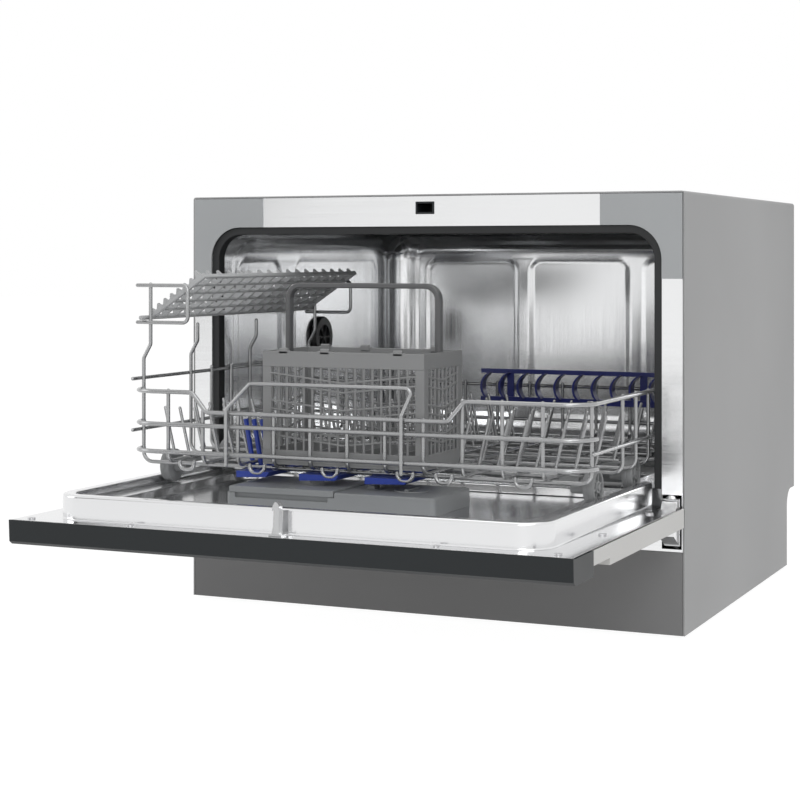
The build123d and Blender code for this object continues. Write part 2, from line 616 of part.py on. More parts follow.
# ================= rack =================
wrap_y = front_y - 162.0
dip_z = 222.0
dip_x = (-150.0, 104.0)
dip_run = 16.0
hoop_x = (-126.0, -99.0, 72.0, 59.0)
long_count = 11
long_pitch = 39.0
long_xs = [long_pitch * (k - (long_count - 1) / 2) for k in range(long_count)]
with BuildPart() as rack_front:
    for z in rail_z[:2]:
        wire([(-rack_hw, wrap_y, z), (-rack_hw, grid_front, z), (rack_hw, grid_front, z),
              (rack_hw, wrap_y, z)], corner_r, rail_r)
    wire([(-rack_hw, wrap_y, rail_z[2]), (-rack_hw, grid_front, rail_z[2]),
          (dip_x[0] - dip_run, grid_front, rail_z[2]), (dip_x[0], grid_front, dip_z),
          (dip_x[1], grid_front, dip_z), (dip_x[1] + dip_run, grid_front, rail_z[2]),
          (rack_hw, grid_front, rail_z[2]), (rack_hw, wrap_y, rail_z[2])],
         [corner_r, 8, 8, 8, 8, corner_r], rail_r)
    for vx in long_xs:
        rail_top = dip_z if dip_x[0] - 8 < vx < dip_x[1] + 8 else rail_z[2]
        rod((vx, grid_front + 3.4, floor_z - 2), (vx, grid_front + 3.4, rail_top + 1), wire_r)
    wire([(hoop_x[0], grid_front - 3.2, floor_z), (hoop_x[0], grid_front - 3.2, 226.0),
          (hoop_x[1], grid_front - 5.2, 252.0), (hoop_x[2], grid_front - 5.2, 252.0),
          (hoop_x[3], grid_front - 3.2, 226.0), (hoop_x[3], grid_front - 3.2, floor_z)],
         [5, 5, 5, 5], wire_r)
save(rack_front, "rack_front")

left_rails = (201.0, 252.0)
right_rails = (196.0, rail_z[2])
end_rails = (190.0, 228.0)
cross_ys = (-167.0, -117.0, -74.0, -31.0, 12.0, 55.0, 98.0, 141.0, 200.0)
short_ys = (-117.0, 98.0)
tall_posts = {-167.0: 346.0, -74.0: 303.0, 55.0: 303.0, 200.0: 346.0}
with BuildPart() as rack_left:
    for z in left_rails:
        rod((-rack_hw - 0.5, front_y - 182, z), (-rack_hw - 0.5, grid_rear + 4, z), wire_r)
    for vy in cross_ys:
        if vy in tall_posts:
            wire([(-rack_hw + 3.0, front_y + vy, floor_z - 3), (-rack_hw + 3.0, front_y + vy, 272.0),
                  (-rack_hw + 11.0, front_y + vy, 286.0), (-rack_hw + 11.0, front_y + vy, tall_posts[vy])],
                 [6, 6], 2.1)
        elif vy not in short_ys:
            rod((-rack_hw + 2.8, front_y + vy, floor_z - 3),
                (-rack_hw + 2.8, front_y + vy, left_rails[1] + 4), wire_r)
save(rack_left, "rack_left")

with BuildPart() as rack_right:
    rod((rack_hw, wrap_y + 0.2, right_rails[1]), (rack_hw, grid_rear + 3, right_rails[1]), rail_r)
    rod((rack_hw + 0.3, front_y - 172, right_rails[0]), (rack_hw + 0.3, grid_rear + 4, right_rails[0]),
        wire_r)
    for vy in cross_ys:
        if vy not in short_ys:
            rod((rack_hw - 3.2, front_y + vy, floor_z - 3), (rack_hw - 3.2, front_y + vy, right_rails[1] + 1),
                wire_r)
save(rack_right, "rack_right")

with BuildPart() as rack_rear:
    for z in end_rails:
        rod((-rack_hw - 2, grid_rear, z), (rack_hw + 2, grid_rear, z), wire_r)
    for vx in long_xs:
        rod((vx, grid_rear - 3.2, floor_z - 2), (vx, grid_rear - 3.2, end_rails[1] + 3), wire_r)
save(rack_rear, "rack_rear")

with BuildPart() as rack_floor:
    for vx in long_xs:
        rod((vx, grid_front + 3.4, floor_z), (vx, grid_rear - 3.2, floor_z), wire_r)
    for vy in cross_ys:
        reach = 212.0 if vy in short_ys else rack_hw - 1.5
        rod((-reach, front_y + vy, floor_z - 3.2), (reach, front_y + vy, floor_z - 3.2), wire_r)
save(rack_floor, "rack_floor")

tine_h = 50.0


def tine_row(x0, count, pitch, y, lean):
    """A row of leaning tines on one foot wire, in the open builder."""
    rod((x0 - 4, y, floor_z + 3.0), (x0 + pitch * (count - 1) + 4, y, floor_z + 3.0), tine_r)
    for k in range(count):
        tx = x0 + pitch * k
        rod((tx, y, floor_z + 3.0), (tx + lean, y, floor_z + tine_h), tine_r)


with BuildPart() as plate_tines:
    for ty in (-142.0, -82.0, -22.0):
        tine_row(-214.0, 7, 17.0, front_y + ty, -11.0)
    for ty in (-142.0, -82.0, -22.0, 38.0, 98.0):
        tine_row(96.0, 7, 19.0, front_y + ty, 11.0)
    for ty in (38.0, 98.0, 158.0):
        tine_row(-150.0, 10, 21.0, front_y + ty, -9.0)
save(plate_tines, "plate_tines")

loop_in = -182.0
loop_z = (308.0, 345.0)
with BuildPart() as shelf_brackets:
    for ly in (-170.7, 203.7):
        wire([(-241.0, front_y + ly, loop_z[1]), (loop_in, front_y + ly, loop_z[1]),
              (loop_in, front_y + ly, loop_z[0]), (-241.0, front_y + ly, loop_z[0])], [6, 6], wire_r)
save(shelf_brackets, "shelf_brackets")

# ---- rollers ----
wheel_x = wheel_face - wheel_w
boss_r = 7.0
with BuildPart() as roller_brackets:
    for s in sides:
        for wy in wheel_ys:
            rod((s * 204.0, wy, wheel_z), (s * (wheel_x - 0.8), wy, wheel_z), boss_r)
            block(s * 207.0, s * 213.0, wy - 9, wy + 9, wheel_z, floor_z - 1.2)
            block(s * 193.0, s * 213.0, wy - 6, wy + 6, floor_z - 5.0, floor_z - 1.2)
save(roller_brackets, "roller_brackets")

with BuildPart() as roller_axles:
    for s in sides:
        for wy in wheel_ys:
            rod((s * (wheel_x - 0.8), wy, wheel_z), (s * (wheel_face + 0.6), wy, wheel_z), axle_r)
save(roller_axles, "roller_axles")

for k, wy in enumerate(wheel_ys):
    with BuildPart() as rollers:
        for s in sides:
            rod((s * wheel_x, wy, wheel_z), (s * wheel_face, wy, wheel_z), wheel_r)
        fillet(edges().filter_by(GeomType.CIRCLE), radius=1.2)
        for s in sides:
            rod((s * (wheel_face - 5), wy, wheel_z), (s * (wheel_face + 1), wy, wheel_z), 13.0, Mode.SUBTRACT)
            rod((s * (wheel_face - 5.5), wy, wheel_z), (s * wheel_face, wy, wheel_z), 6.5)
            with Locations(Plane(origin=(s * (wheel_face - 5.5), wy, wheel_z), z_dir=(s, 0, 0))):
                for a in range(4):
                    with Locations(Rotation(0, 0, 45.0 * a)):
                        Box(26.4, 1.8, 4.6, align=(Align.CENTER, Align.CENTER, Align.MIN))
            rod((s * (wheel_x - 1), wy, wheel_z), (s * (wheel_face + 1), wy, wheel_z), axle_r + axle_gap,
                Mode.SUBTRACT)
    save(rollers, f"rollers_{k + 1}")

# ---- blue holders ----
holder_y = grid_rear - 14.0
holder_z = (209.0, 247.0)
holder_x = (-15.0, 222.0)
fin_count = 11
with BuildPart() as glass_holder:
    block(holder_x[0], holder_x[1], holder_y - 2, holder_y + 2, holder_z[1] - 5, holder_z[1])
    block(holder_x[0], holder_x[1], holder_y - 4, holder_y + 2, holder_z[0], holder_z[0] + 7)
    for k in range(fin_count):
        fx = holder_x[0] + 10 + (holder_x[1] - holder_x[0] - 20) * k / (fin_count - 1)
        with BuildSketch(Plane.XZ.offset(-(holder_y + 1.5))):
            with BuildLine():
                ThreePointArc((fx - 3, holder_z[0] + 6), (fx - 8, 228.0), (fx + 2, holder_z[1] - 4))
                Line((fx + 2, holder_z[1] - 4), (fx + 5, holder_z[1] - 4))
                ThreePointArc((fx + 5, holder_z[1] - 4), (fx - 5.5, 228.0), (fx, holder_z[0] + 6))
                Line((fx, holder_z[0] + 6), (fx - 3, holder_z[0] + 6))
            make_face()
        extrude(amount=12.0)
    for cx in (20.0, 175.0):
        block(cx - 4, cx + 4, holder_y, grid_rear - 1.2, 223.5, 229.0)
        block(cx - 4, cx + 4, holder_y - 1, holder_y + 1, 212.0, 245.0)
save(glass_holder, "glass_holder")

with BuildPart() as plate_props:
    for x0, x1 in ((-120.0, -84.0), (-52.0, -10.0), (17.0, 62.0)):
        with BuildSketch(Plane.XZ.offset(-(grid_front + 6))):
            with BuildLine():
                Polyline((x0, 160.0), (x0, 166.4), (x1, 166.4), (x1 - 4, 161.5), (x0, 160.0))
            make_face()
        extrude(amount=-74.0)
    for bx in (-117.0, -108.0, -99.0):
        rod((bx, grid_front + 36, 166.0), (bx - 9, grid_front + 36, 214.0), 2.4)
save(plate_props, "plate_props")

# ================= cup shelf =================
shelf_len = 352.0
shelf_w = 76.0
shelf_tilt = 34.0
shelf_y = front_y + 16.5
peg_r = 2.3
pivot_x = -233.0
pivot_z = loop_z[0] + wire_r + peg_r + 0.3
tilt = math.radians(shelf_tilt)
shelf_plane = Plane(origin=(pivot_x, shelf_y, pivot_z), x_dir=(math.cos(tilt), 0, math.sin(tilt)),
                    z_dir=(-math.sin(tilt), 0, math.cos(tilt)))
bars = 5
ribs = 17
with BuildPart() as cup_shelf:
    with Locations(shelf_plane):
        for k in range(bars):
            with Locations((1.5 + (shelf_w - 3.0) * k / (bars - 1), 0, 0)):
                Box(3.0, shelf_len, 4.6)
        for k in range(ribs):
            with Locations((shelf_w / 2, -shelf_len / 2 + 1.25 + (shelf_len - 2.5) * k / (ribs - 1), 0)):
                Box(shelf_w, 2.5, 3.4)
    for k in range(ribs - 1):
        ry = -shelf_len / 2 + (shelf_len - 2.5) * (k + 0.5) / (ribs - 1)
        for u in (19.0, 38.0, 57.0, 74.5):
            with Locations(shelf_plane):
                with Locations((u, ry, 2.0)):
                    Cone(3.2, 0.7, 11.0 if u > 70 else 7.0, align=(Align.CENTER, Align.CENTER, Align.MIN))
    with Locations(shelf_plane):
        with Locations(Rotation(90, 0, 0)):
            Cylinder(peg_r, shelf_len + 34.0)
save(cup_shelf, "cup_shelf")

# ================= cutlery basket =================
bask_x = (-92.0, 77.0)
bask_y = (grid_front + 8.0, grid_front + 102.0)
bask_z = (floor_z + wire_r + 0.4, 283.0)
bask_wall = 2.0
cell = 7.2
strut = 2.0


def cells(low, high, edge):
    """Centres and width of even openings between two edges."""
    span = high - low - 2 * edge
    count = round(span / (cell + strut))
    pitch = span / count
    return [low + edge + pitch * (k + 0.5) for k in range(count)], pitch - strut


col_x, col_w = cells(bask_x[0], bask_x[1], 9.0)
col_y, col_d = cells(bask_y[0], bask_y[1], 9.0)
row_h = 17.0
rows = [bask_z[0] + 16.0 + (row_h + strut) * (k + 0.5) for k in range(4)]
bar_xs = [bask_x[0] + (bask_x[1] - bask_x[0]) * k / 4 for k in (1, 2, 3)]
bar_zs = (bask_z[0] + 8.0, bask_z[1] - 9.0)
clip_xs = (-70.0, -26.0, 50.0)
clip_w = 12.0
clip_d = 4.0
clip_h = 3.4
bar_t = 1.8
bar_h = 6.0


def net_panel(x, y, z, plane, places, hole, clip_y=None):
    """One flat moulded panel of the basket, with its openings and any clips on its top edge."""
    with BuildPart() as panel:
        block(*x, *y, *z)
        if clip_y:
            for cx in clip_xs:
                block(cx - clip_w / 2, cx + clip_w / 2, *clip_y, z[1] - 1, z[1] + clip_h)
        with BuildSketch(plane) as net:
            with Locations(places):
                Rectangle(*hole)
        extrude(net.sketch, amount=bask_wall + 1, both=True, mode=Mode.SUBTRACT)
    return panel.part


# The panels meet face to face and stay separate solids.
in_x = (bask_x[0] + bask_wall, bask_x[1] - bask_wall)
in_y = (bask_y[0] + bask_wall, bask_y[1] - bask_wall)
wall_z = (bask_z[0] + bask_wall, bask_z[1])
long_net = [(x, z) for x in col_x for z in rows]
end_net = [(y, z) for y in col_y for z in rows]
floor_net = [(x, y) for x in col_x[::2] for y in col_y[::2]]
panels = [
    net_panel(bask_x, bask_y, (bask_z[0], wall_z[0]), Plane.XY.offset(bask_z[0]), floor_net,
              (col_w, col_d)),
    net_panel(bask_x, (bask_y[0], in_y[0]), wall_z, Plane.XZ.offset(-bask_y[0]), long_net,
              (col_w, row_h), (bask_y[0], bask_y[0] + clip_d)),
    net_panel(bask_x, (in_y[1], bask_y[1]), wall_z, Plane.XZ.offset(-bask_y[1]), long_net,
              (col_w, row_h), (bask_y[1] - clip_d, bask_y[1])),
    net_panel((bask_x[0], in_x[0]), in_y, wall_z, Plane.YZ.offset(bask_x[0]), end_net, (col_d, row_h)),
    net_panel((in_x[1], bask_x[1]), in_y, wall_z, Plane.YZ.offset(bask_x[1]), end_net, (col_d, row_h))]
for bar_x in bar_xs:
    for bar_z in bar_zs:
        with BuildPart() as cross_bar:
            block(bar_x - bar_t / 2, bar_x + bar_t / 2, *in_y, bar_z - bar_h / 2, bar_z + bar_h / 2)
        panels.append(cross_bar.part)
with BuildPart() as cutlery_basket:
    add(panels, mode=Mode.REPLACE)
save(cutlery_basket, "cutlery_basket")

handle_x = (bask_x[0] + bask_x[1]) / 2
handle_y = (bask_y[0] + bask_y[1]) / 2
handle_top = 348.0
handle_deep = 14.0
handle_t = 5.0
handle_w = 10.0
handle_hw = (bask_x[1] - bask_x[0]) / 2 - bask_wall - 0.2
with BuildPart() as basket_handle:
    with BuildSketch(Plane.XZ.offset(-(handle_y - handle_w / 2))):
        with Locations((handle_x, (bask_z[1] - handle_deep + handle_top) / 2)):
            Rectangle(2 * handle_hw, handle_top - bask_z[1] + handle_deep)
        fillet(vertices().group_by(Axis.Y)[-1], radius=16.0)
        with Locations((handle_x, (bask_z[1] - 2 * handle_deep + handle_top - handle_t) / 2)):
            Rectangle(2 * (handle_hw - handle_t - 0.5), handle_top - handle_t - bask_z[1] + 2 * handle_deep,
                      mode=Mode.SUBTRACT)
        inside_top = vertices().filter_by(lambda v: abs(v.Y - (handle_top - handle_t)) < 0.2)
        fillet(inside_top, radius=11.0)
    extrude(amount=-handle_w)
    block(handle_x - 4.5, handle_x + 4.5, handle_y - handle_w, handle_y + handle_w, handle_top - 1.6,
          handle_top + 1, Mode.SUBTRACT)
save(basket_handle, "basket_handle")
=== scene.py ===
import logging
import math
from dataclasses import dataclass, field
from enum import Enum
from typing import Callable, Sequence

import bmesh
import bpy
from mathutils import Matrix, Vector


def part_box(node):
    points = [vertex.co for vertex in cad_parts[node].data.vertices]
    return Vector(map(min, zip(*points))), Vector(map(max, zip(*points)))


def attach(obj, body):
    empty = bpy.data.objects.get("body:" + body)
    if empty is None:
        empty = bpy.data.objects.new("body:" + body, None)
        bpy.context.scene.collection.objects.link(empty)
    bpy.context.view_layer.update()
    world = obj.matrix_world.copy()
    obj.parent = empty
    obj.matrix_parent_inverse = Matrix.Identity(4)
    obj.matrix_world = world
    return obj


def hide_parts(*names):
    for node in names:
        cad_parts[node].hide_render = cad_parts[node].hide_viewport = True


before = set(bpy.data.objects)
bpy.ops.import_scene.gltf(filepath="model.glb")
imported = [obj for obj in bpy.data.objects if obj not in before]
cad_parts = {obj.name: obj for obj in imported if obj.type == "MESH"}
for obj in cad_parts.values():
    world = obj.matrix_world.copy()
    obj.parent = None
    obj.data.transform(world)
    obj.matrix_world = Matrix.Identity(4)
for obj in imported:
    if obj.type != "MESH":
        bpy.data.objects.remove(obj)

# Looks of a countertop dishwasher with its door open and the rack rolled out, in metres.
# Sizes are written in millimetres and turned into metres by mm().

LOG = logging.getLogger("dishwasher")
SIDES = (-1, 1)
Point = tuple[float, float, float]
Flat = tuple[float, float]
Place = Callable[[float, float, float], Sequence[float]]
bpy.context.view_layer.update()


def mm(value: float) -> float:
    """Metres from millimetres.

    Args:
        value: a length in millimetres.
    Returns:
        The same length in metres.
    """
    return value * 0.001


def node_box(node: str) -> tuple[Vector, Vector]:
    """Lowest and highest corner of a CAD node in millimetres.

    Args:
        node: the node's name.
    Returns:
        Two vectors in millimetres.
    """
    low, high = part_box(node)
    return low * 1000.0, high * 1000.0


# ---------------------------------------------------------------- shader groups


class Group(Enum):
    """The shared shader effects, by the name of their node group."""

    MOTTLE = "mottle"
    BRUSHED = "brushed"
    SPECKLE = "speckle"


def noise_group(kind: Group, inputs: dict[str, float], fixed: dict[str, float]) -> None:
    """Makes a shared effect: noise over the object's own coordinates, from 0 to 1.

    Args:
        kind: the effect.
        inputs: each input with its default. One that is named after a socket of the noise drives it, and
            those that start with Along stretch the noise along an axis.
        fixed: values for the noise's other sockets.
    """
    tree = bpy.data.node_groups.new(kind.value, "ShaderNodeTree")
    nodes, links = tree.nodes, tree.links
    source, result = nodes.new("NodeGroupInput"), nodes.new("NodeGroupOutput")
    place, noise = nodes.new("ShaderNodeTexCoord"), nodes.new("ShaderNodeTexNoise")
    stretch, scaled = nodes.new("ShaderNodeCombineXYZ"), nodes.new("ShaderNodeVectorMath")
    scaled.operation = "MULTIPLY"
    for socket in stretch.inputs:
        socket.default_value = 1.0
    for label, default in inputs.items():
        socket = tree.interface.new_socket(name=label, in_out="INPUT", socket_type="NodeSocketFloat")
        socket.default_value = default
        along = label.startswith("Along ")
        links.new(source.outputs[label], stretch.inputs[label[-1]] if along else noise.inputs[label])
    for label, value in fixed.items():
        noise.inputs[label].default_value = value
    tree.interface.new_socket(name="Value", in_out="OUTPUT", socket_type="NodeSocketFloat")
    links.new(place.outputs["Object"], scaled.inputs[0])
    links.new(stretch.outputs["Vector"], scaled.inputs[1])
    links.new(scaled.outputs["Vector"], noise.inputs["Vector"])
    links.new(noise.outputs["Fac"], result.inputs["Value"])


# ---------------------------------------------------------------- finishes


QUARTILES = (0.3, 0.7)  # most of a noise's values lie between these


@dataclass(frozen=True)
class Finish:
    """A surface finish with its own procedural material.

    The tone wanders by `drift` with soft clouds, the roughness by `rough_drift`, and the relief comes from
    scratches or from a fine speckle.
    """

    name: str
    colour: tuple[float, float, float]
    roughness: float = 0.4
    metallic: float = 0.0
    coat: float = 0.0
    drift: float = 0.04
    rough_drift: float = 0.06
    cloud_scale: float = 7.0
    speckle_scale: float = 1100.0
    scratch_axis: str = ""
    relief: float = 0.0
    specular: float = 0.5
    edge: float = 0.0

    def build(self) -> bpy.types.Material:
        """Makes the material once and returns it afterwards.

        Returns:
            The finished node material.
        """
        title = self.name + "_finish"
        known = bpy.data.materials.get(title)
        if known:
            return known
        material = bpy.data.materials.new(title)
        material.use_nodes = True
        material.diffuse_color = (*self.colour, 1.0)
        nodes, links = material.node_tree.nodes, material.node_tree.links
        shader = nodes["Principled BSDF"]
        for label, value in (("Metallic", self.metallic), ("Coat Weight", self.coat),
                             ("Coat Roughness", 0.12), ("Specular IOR Level", self.specular)):
            shader.inputs[label].default_value = value
        cloud = self._effect(nodes, Group.MOTTLE, {"Scale": self.cloud_scale})
        stretch = {"Along " + axis: (1.0 if axis == self.scratch_axis else 90.0) for axis in "XYZ"}
        scratch = self._effect(nodes, Group.BRUSHED, stretch) if self.scratch_axis else None
        links.new(self._tone(nodes, links, cloud), shader.inputs["Base Color"])
        links.new(self._gloss(nodes, links, scratch or cloud), shader.inputs["Roughness"])
        self._relief(nodes, links, scratch, shader.inputs["Normal"])
        return material

    def _effect(self, nodes: bpy.types.Nodes, kind: Group, values: dict[str, float]) -> bpy.types.NodeSocket:
        """Places a shared effect with its own values and returns what it puts out."""
        node = nodes.new("ShaderNodeGroup")
        node.node_tree = bpy.data.node_groups[kind.value]
        for label, value in values.items():
            node.inputs[label].default_value = value
        return node.outputs["Value"]

    def _tone(self, nodes: bpy.types.Nodes, links: bpy.types.NodeLinks,
              cloud: bpy.types.NodeSocket) -> bpy.types.NodeSocket:
        """A colour that wanders a little round the finish's colour."""
        ramp = nodes.new("ShaderNodeValToRGB")
        gains = (1.0 - self.drift, 1.0 + self.drift)
        for stop, gain, position in zip(ramp.color_ramp.elements, gains, QUARTILES):
            stop.color = (*[min(1.0, c * gain) for c in self.colour], 1.0)
            stop.position = position
        links.new(cloud, ramp.inputs["Fac"])
        return ramp.outputs["Color"]

    def _gloss(self, nodes: bpy.types.Nodes, links: bpy.types.NodeLinks,
               source: bpy.types.NodeSocket) -> bpy.types.NodeSocket:
        """A roughness that follows the clouds, or the scratches where the finish has them."""
        spread = nodes.new("ShaderNodeMapRange")
        ends = (*QUARTILES, max(0.02, self.roughness - self.rough_drift), self.roughness + self.rough_drift)
        for label, value in zip(("From Min", "From Max", "To Min", "To Max"), ends):
            spread.inputs[label].default_value = value
        links.new(source, spread.inputs["Value"])
        return spread.outputs["Result"]

    def _relief(self, nodes: bpy.types.Nodes, links: bpy.types.NodeLinks,
                scratch: bpy.types.NodeSocket | None, target: bpy.types.NodeSocket) -> None:
        """Bump from scratches or speckle, over softened edges where asked."""
        normal = None
        if self.edge:
            soft = nodes.new("ShaderNodeBevel")
            soft.samples = 4
            soft.inputs["Radius"].default_value = mm(self.edge)
            normal = soft.outputs["Normal"]
        if self.relief:
            bump = nodes.new("ShaderNodeBump")
            bump.inputs["Strength"].default_value = self.relief
            bump.inputs["Distance"].default_value = mm(0.1)
            speckle = scratch or self._effect(nodes, Group.SPECKLE, {"Scale": self.speckle_scale})
            links.new(speckle, bump.inputs["Height"])
            if normal:
                links.new(normal, bump.inputs["Normal"])
            normal = bump.outputs["Normal"]
        if normal:
            links.new(normal, target)


GREY_PAINT = Finish("grey_paint", (0.38, 0.382, 0.385), 0.42, 0.25, drift=0.02, cloud_scale=3.0,
                    speckle_scale=1500.0, relief=0.08)
DARK_PAINT = Finish("plinth_paint", (0.215, 0.215, 0.217), 0.42, 0.2, drift=0.03, cloud_scale=3.0,
                    speckle_scale=1500.0, relief=0.08)
SILVER_PAINT = Finish("silver_paint", (0.60, 0.595, 0.58), 0.34, 0.4, drift=0.02, speckle_scale=1500.0,
                      relief=0.08, edge=0.8)
POLISHED = Finish("polished_steel", (0.76, 0.763, 0.77), 0.15, 1.0, drift=0.02, rough_drift=0.03,
                  cloud_scale=4.0)
TUB_STEEL = Finish("tub_steel", (0.86, 0.867, 0.875), 0.17, 1.0, drift=0.03, rough_drift=0.04,
                   cloud_scale=4.0, scratch_axis="Z", relief=0.02)
# Painted shade: a darker steel for the floor pan, standing in for the dark interior that the pan reflects.
PAN_SHADE_STEEL = Finish("pan_painted_shade_steel", (0.33, 0.334, 0.338), 0.26, 1.0, drift=0.05, rough_drift=0.05,
                   cloud_scale=4.0)
FACE_STEEL = Finish("face_steel", (0.83, 0.835, 0.84), 0.22, 1.0, drift=0.015, rough_drift=0.05,
                    scratch_axis="X", relief=0.04)
SPRING_STEEL = Finish("spring_steel", (0.55, 0.55, 0.56), 0.3, 1.0, edge=0.5)
CHARCOAL = Finish("charcoal_plastic", (0.018, 0.0215, 0.0235), 0.40, drift=0.05, relief=0.06,
                  specular=0.3, edge=0.8)
GREY_PLASTIC = Finish("grey_plastic", (0.25, 0.26, 0.267), 0.34, drift=0.04, relief=0.08, edge=0.8)
CORNER_PLASTIC = Finish("corner_plastic", (0.42, 0.434, 0.443), 0.40, 0.3, drift=0.03, relief=0.08)
LIGHT_PLASTIC = Finish("light_plastic", (0.55, 0.555, 0.56), 0.36, drift=0.03, relief=0.06, edge=0.5)
BASKET_PLASTIC = Finish("basket_plastic", (0.28, 0.283, 0.286), 0.38, drift=0.04, relief=0.06)
HOOK_PLASTIC = Finish("hook_plastic", (0.56, 0.565, 0.57), 0.20, 0.6, coat=0.5, drift=0.03, relief=0.05,
                      edge=0.5)
HANDLE_PLASTIC = Finish("handle_plastic", (0.12, 0.122, 0.125), 0.36, drift=0.04, relief=0.06)
SHELF_PLASTIC = Finish("shelf_plastic", (0.56, 0.568, 0.574), 0.42, drift=0.04, relief=0.06)
ROLLER_PLASTIC = Finish("roller_plastic", (0.26, 0.266, 0.27), 0.42, drift=0.05, relief=0.08)
COATED_WIRE = Finish("coated_wire", (0.36, 0.364, 0.368), 0.22, 0.75, coat=0.6, drift=0.05,
                     speckle_scale=600.0, relief=0.1)
BLUE = Finish("blue_plastic", (0.010, 0.018, 0.16), 0.34, coat=0.2, drift=0.06, edge=0.5)
WEDGE_BLUE = Finish("wedge_blue", (0.012, 0.045, 0.36), 0.34, coat=0.2, drift=0.06, edge=0.5)
BLACK = Finish("black_plastic", (0.012, 0.012, 0.013), 0.5, relief=0.08, edge=0.8)
RUBBER = Finish("rubber", (0.012, 0.013, 0.014), 0.6, drift=0.15, speckle_scale=800.0, relief=0.12,
                edge=1.5)
WINDOW = Finish("dark_window", (0.004, 0.004, 0.006), 0.08, coat=1.0, drift=0.02)
BOARD = Finish("board_green", (0.01, 0.09, 0.035), 0.5, drift=0.1, speckle_scale=300.0, relief=0.1)

NODE_FINISH: dict[Finish, tuple[str, ...]] = {
    GREY_PAINT: ("wrapper", "back_panel"),
    DARK_PAINT: ("plinth",),
    SILVER_PAINT: ("door_outer",),
    POLISHED: ("inner_door", "hinge_brackets"),
    TUB_STEEL: ("tub", "tub_pan"),
    FACE_STEEL: ("front_frame",),
    SPRING_STEEL: ("rear_screws", "door_screws", "hinge_pins", "hinge_springs", "heater"),
    CHARCOAL: ("control_panel", "door_lock"),
    GREY_PLASTIC: ("dispenser", "detergent_lid", "lid_latch", "rinse_cap", "sump", "filter_cup", "spray_arm",
                   "float_dome", "drain_connector"),
    CORNER_PLASTIC: ("corner_pieces",),
    LIGHT_PLASTIC: ("latch_hook", "drain_pump", "inlet_valve", *[f"button_{k}" for k in (1, 2, 3, 4)]),
    BLUE: ("glass_holder",),
    WEDGE_BLUE: ("plate_props",),
    BLACK: ("base_tray", "rear_recess", "vent_ring", "wash_pump", "cord_gland"),
    RUBBER: ("feet", "tub_seal"),
    WINDOW: ("display_window",),
    BOARD: ("control_board",),
    COATED_WIRE: ("rack_front", "rack_left", "rack_right", "rack_rear", "rack_floor", "plate_tines",
                  "shelf_brackets"),
    BASKET_PLASTIC: ("cutlery_basket",),
    HANDLE_PLASTIC: ("basket_handle",),
    SHELF_PLASTIC: ("cup_shelf",),
    ROLLER_PLASTIC: ("rollers_1", "rollers_2", "rollers_3", "roller_brackets", "roller_axles"),
}


def dress_nodes(table: dict[Finish, tuple[str, ...]]) -> None:
    """Gives each listed CAD node its finish.

    Args:
        table: the nodes that wear each finish.
    """
    for finish, nodes in table.items():
        for node in nodes:
            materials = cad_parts[node].data.materials
            materials.clear()
            materials.append(finish.build())
        LOG.info("%s on %s", finish.name, ", ".join(nodes))


# ---------------------------------------------------------------- mesh helpers


def link_object(name: str, data: bpy.types.ID) -> bpy.types.Object:
    """Puts a new object in the scene, at the origin.

    Args:
        name: the object's name.
        data: its mesh, curve, lamp or camera.
    Returns:
        The new object.
    """
    item = bpy.data.objects.new(name, data)
    bpy.context.scene.collection.objects.link(item)
    return item


def settle(piece: bpy.types.Object, body: str, slot: str, *nodes: str) -> bpy.types.Object:
    """Puts a finished piece on its body, in place of CAD nodes.

    Args:
        piece: the finished object.
        body: the body it rides on.
        slot: the record's material slot for it; not used.
        nodes: the CAD nodes that it stands for.
    Returns:
        The same object.
    """
    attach(piece, body)
    if nodes:
        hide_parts(*nodes)
    LOG.info("%s rides on %s", piece.name, body)
    return piece


# ---------------------------------------------------------------- pressed sheets


def smooth_step(value: float) -> float:
    """A soft ramp from 0 to 1.

    Args:
        value: where on the ramp, clamped to 0..1.
    Returns:
        The eased value.
    """
    t = min(1.0, max(0.0, value))
    return t * t * (3.0 - 2.0 * t)


def arc(centre: Flat, r: float, start: float, stop: float, steps: int) -> list[Flat]:
    """Points along an arc in a plane.

    Args:
        centre: the arc's centre.
        r: its radius.
        start: its first angle in degrees.
        stop: its last angle in degrees.
        steps: how many spans it has.
    Returns:
        steps + 1 points.
    """
    angles = [math.radians(start + (stop - start) * k / steps) for k in range(steps + 1)]
    return [(centre[0] + r * math.cos(a), centre[1] + r * math.sin(a)) for a in angles]


def arch(left: float, right: float, foot: float, crown: float, r: float, steps: int = 10) -> list[Flat]:
    """Outline of an arch with round shoulders, from its left foot over the crown to its right foot.

    Args:
        left: where its left leg stands.
        right: where its right leg stands.
        foot: the height of both feet.
        crown: the height of its crown, which may lie below the feet.
        r: the shoulders' radius.
        steps: how many spans each shoulder has.
    Returns:
        Its points.
    """
    middle, end, level = (90.0, 0.0, crown - r) if crown > foot else (270.0, 360.0, crown + r)
    return [(left, foot), *arc((left + r, level), r, 180.0, middle, steps),
            *arc((right - r, level), r, middle, end, steps), (right, foot)]


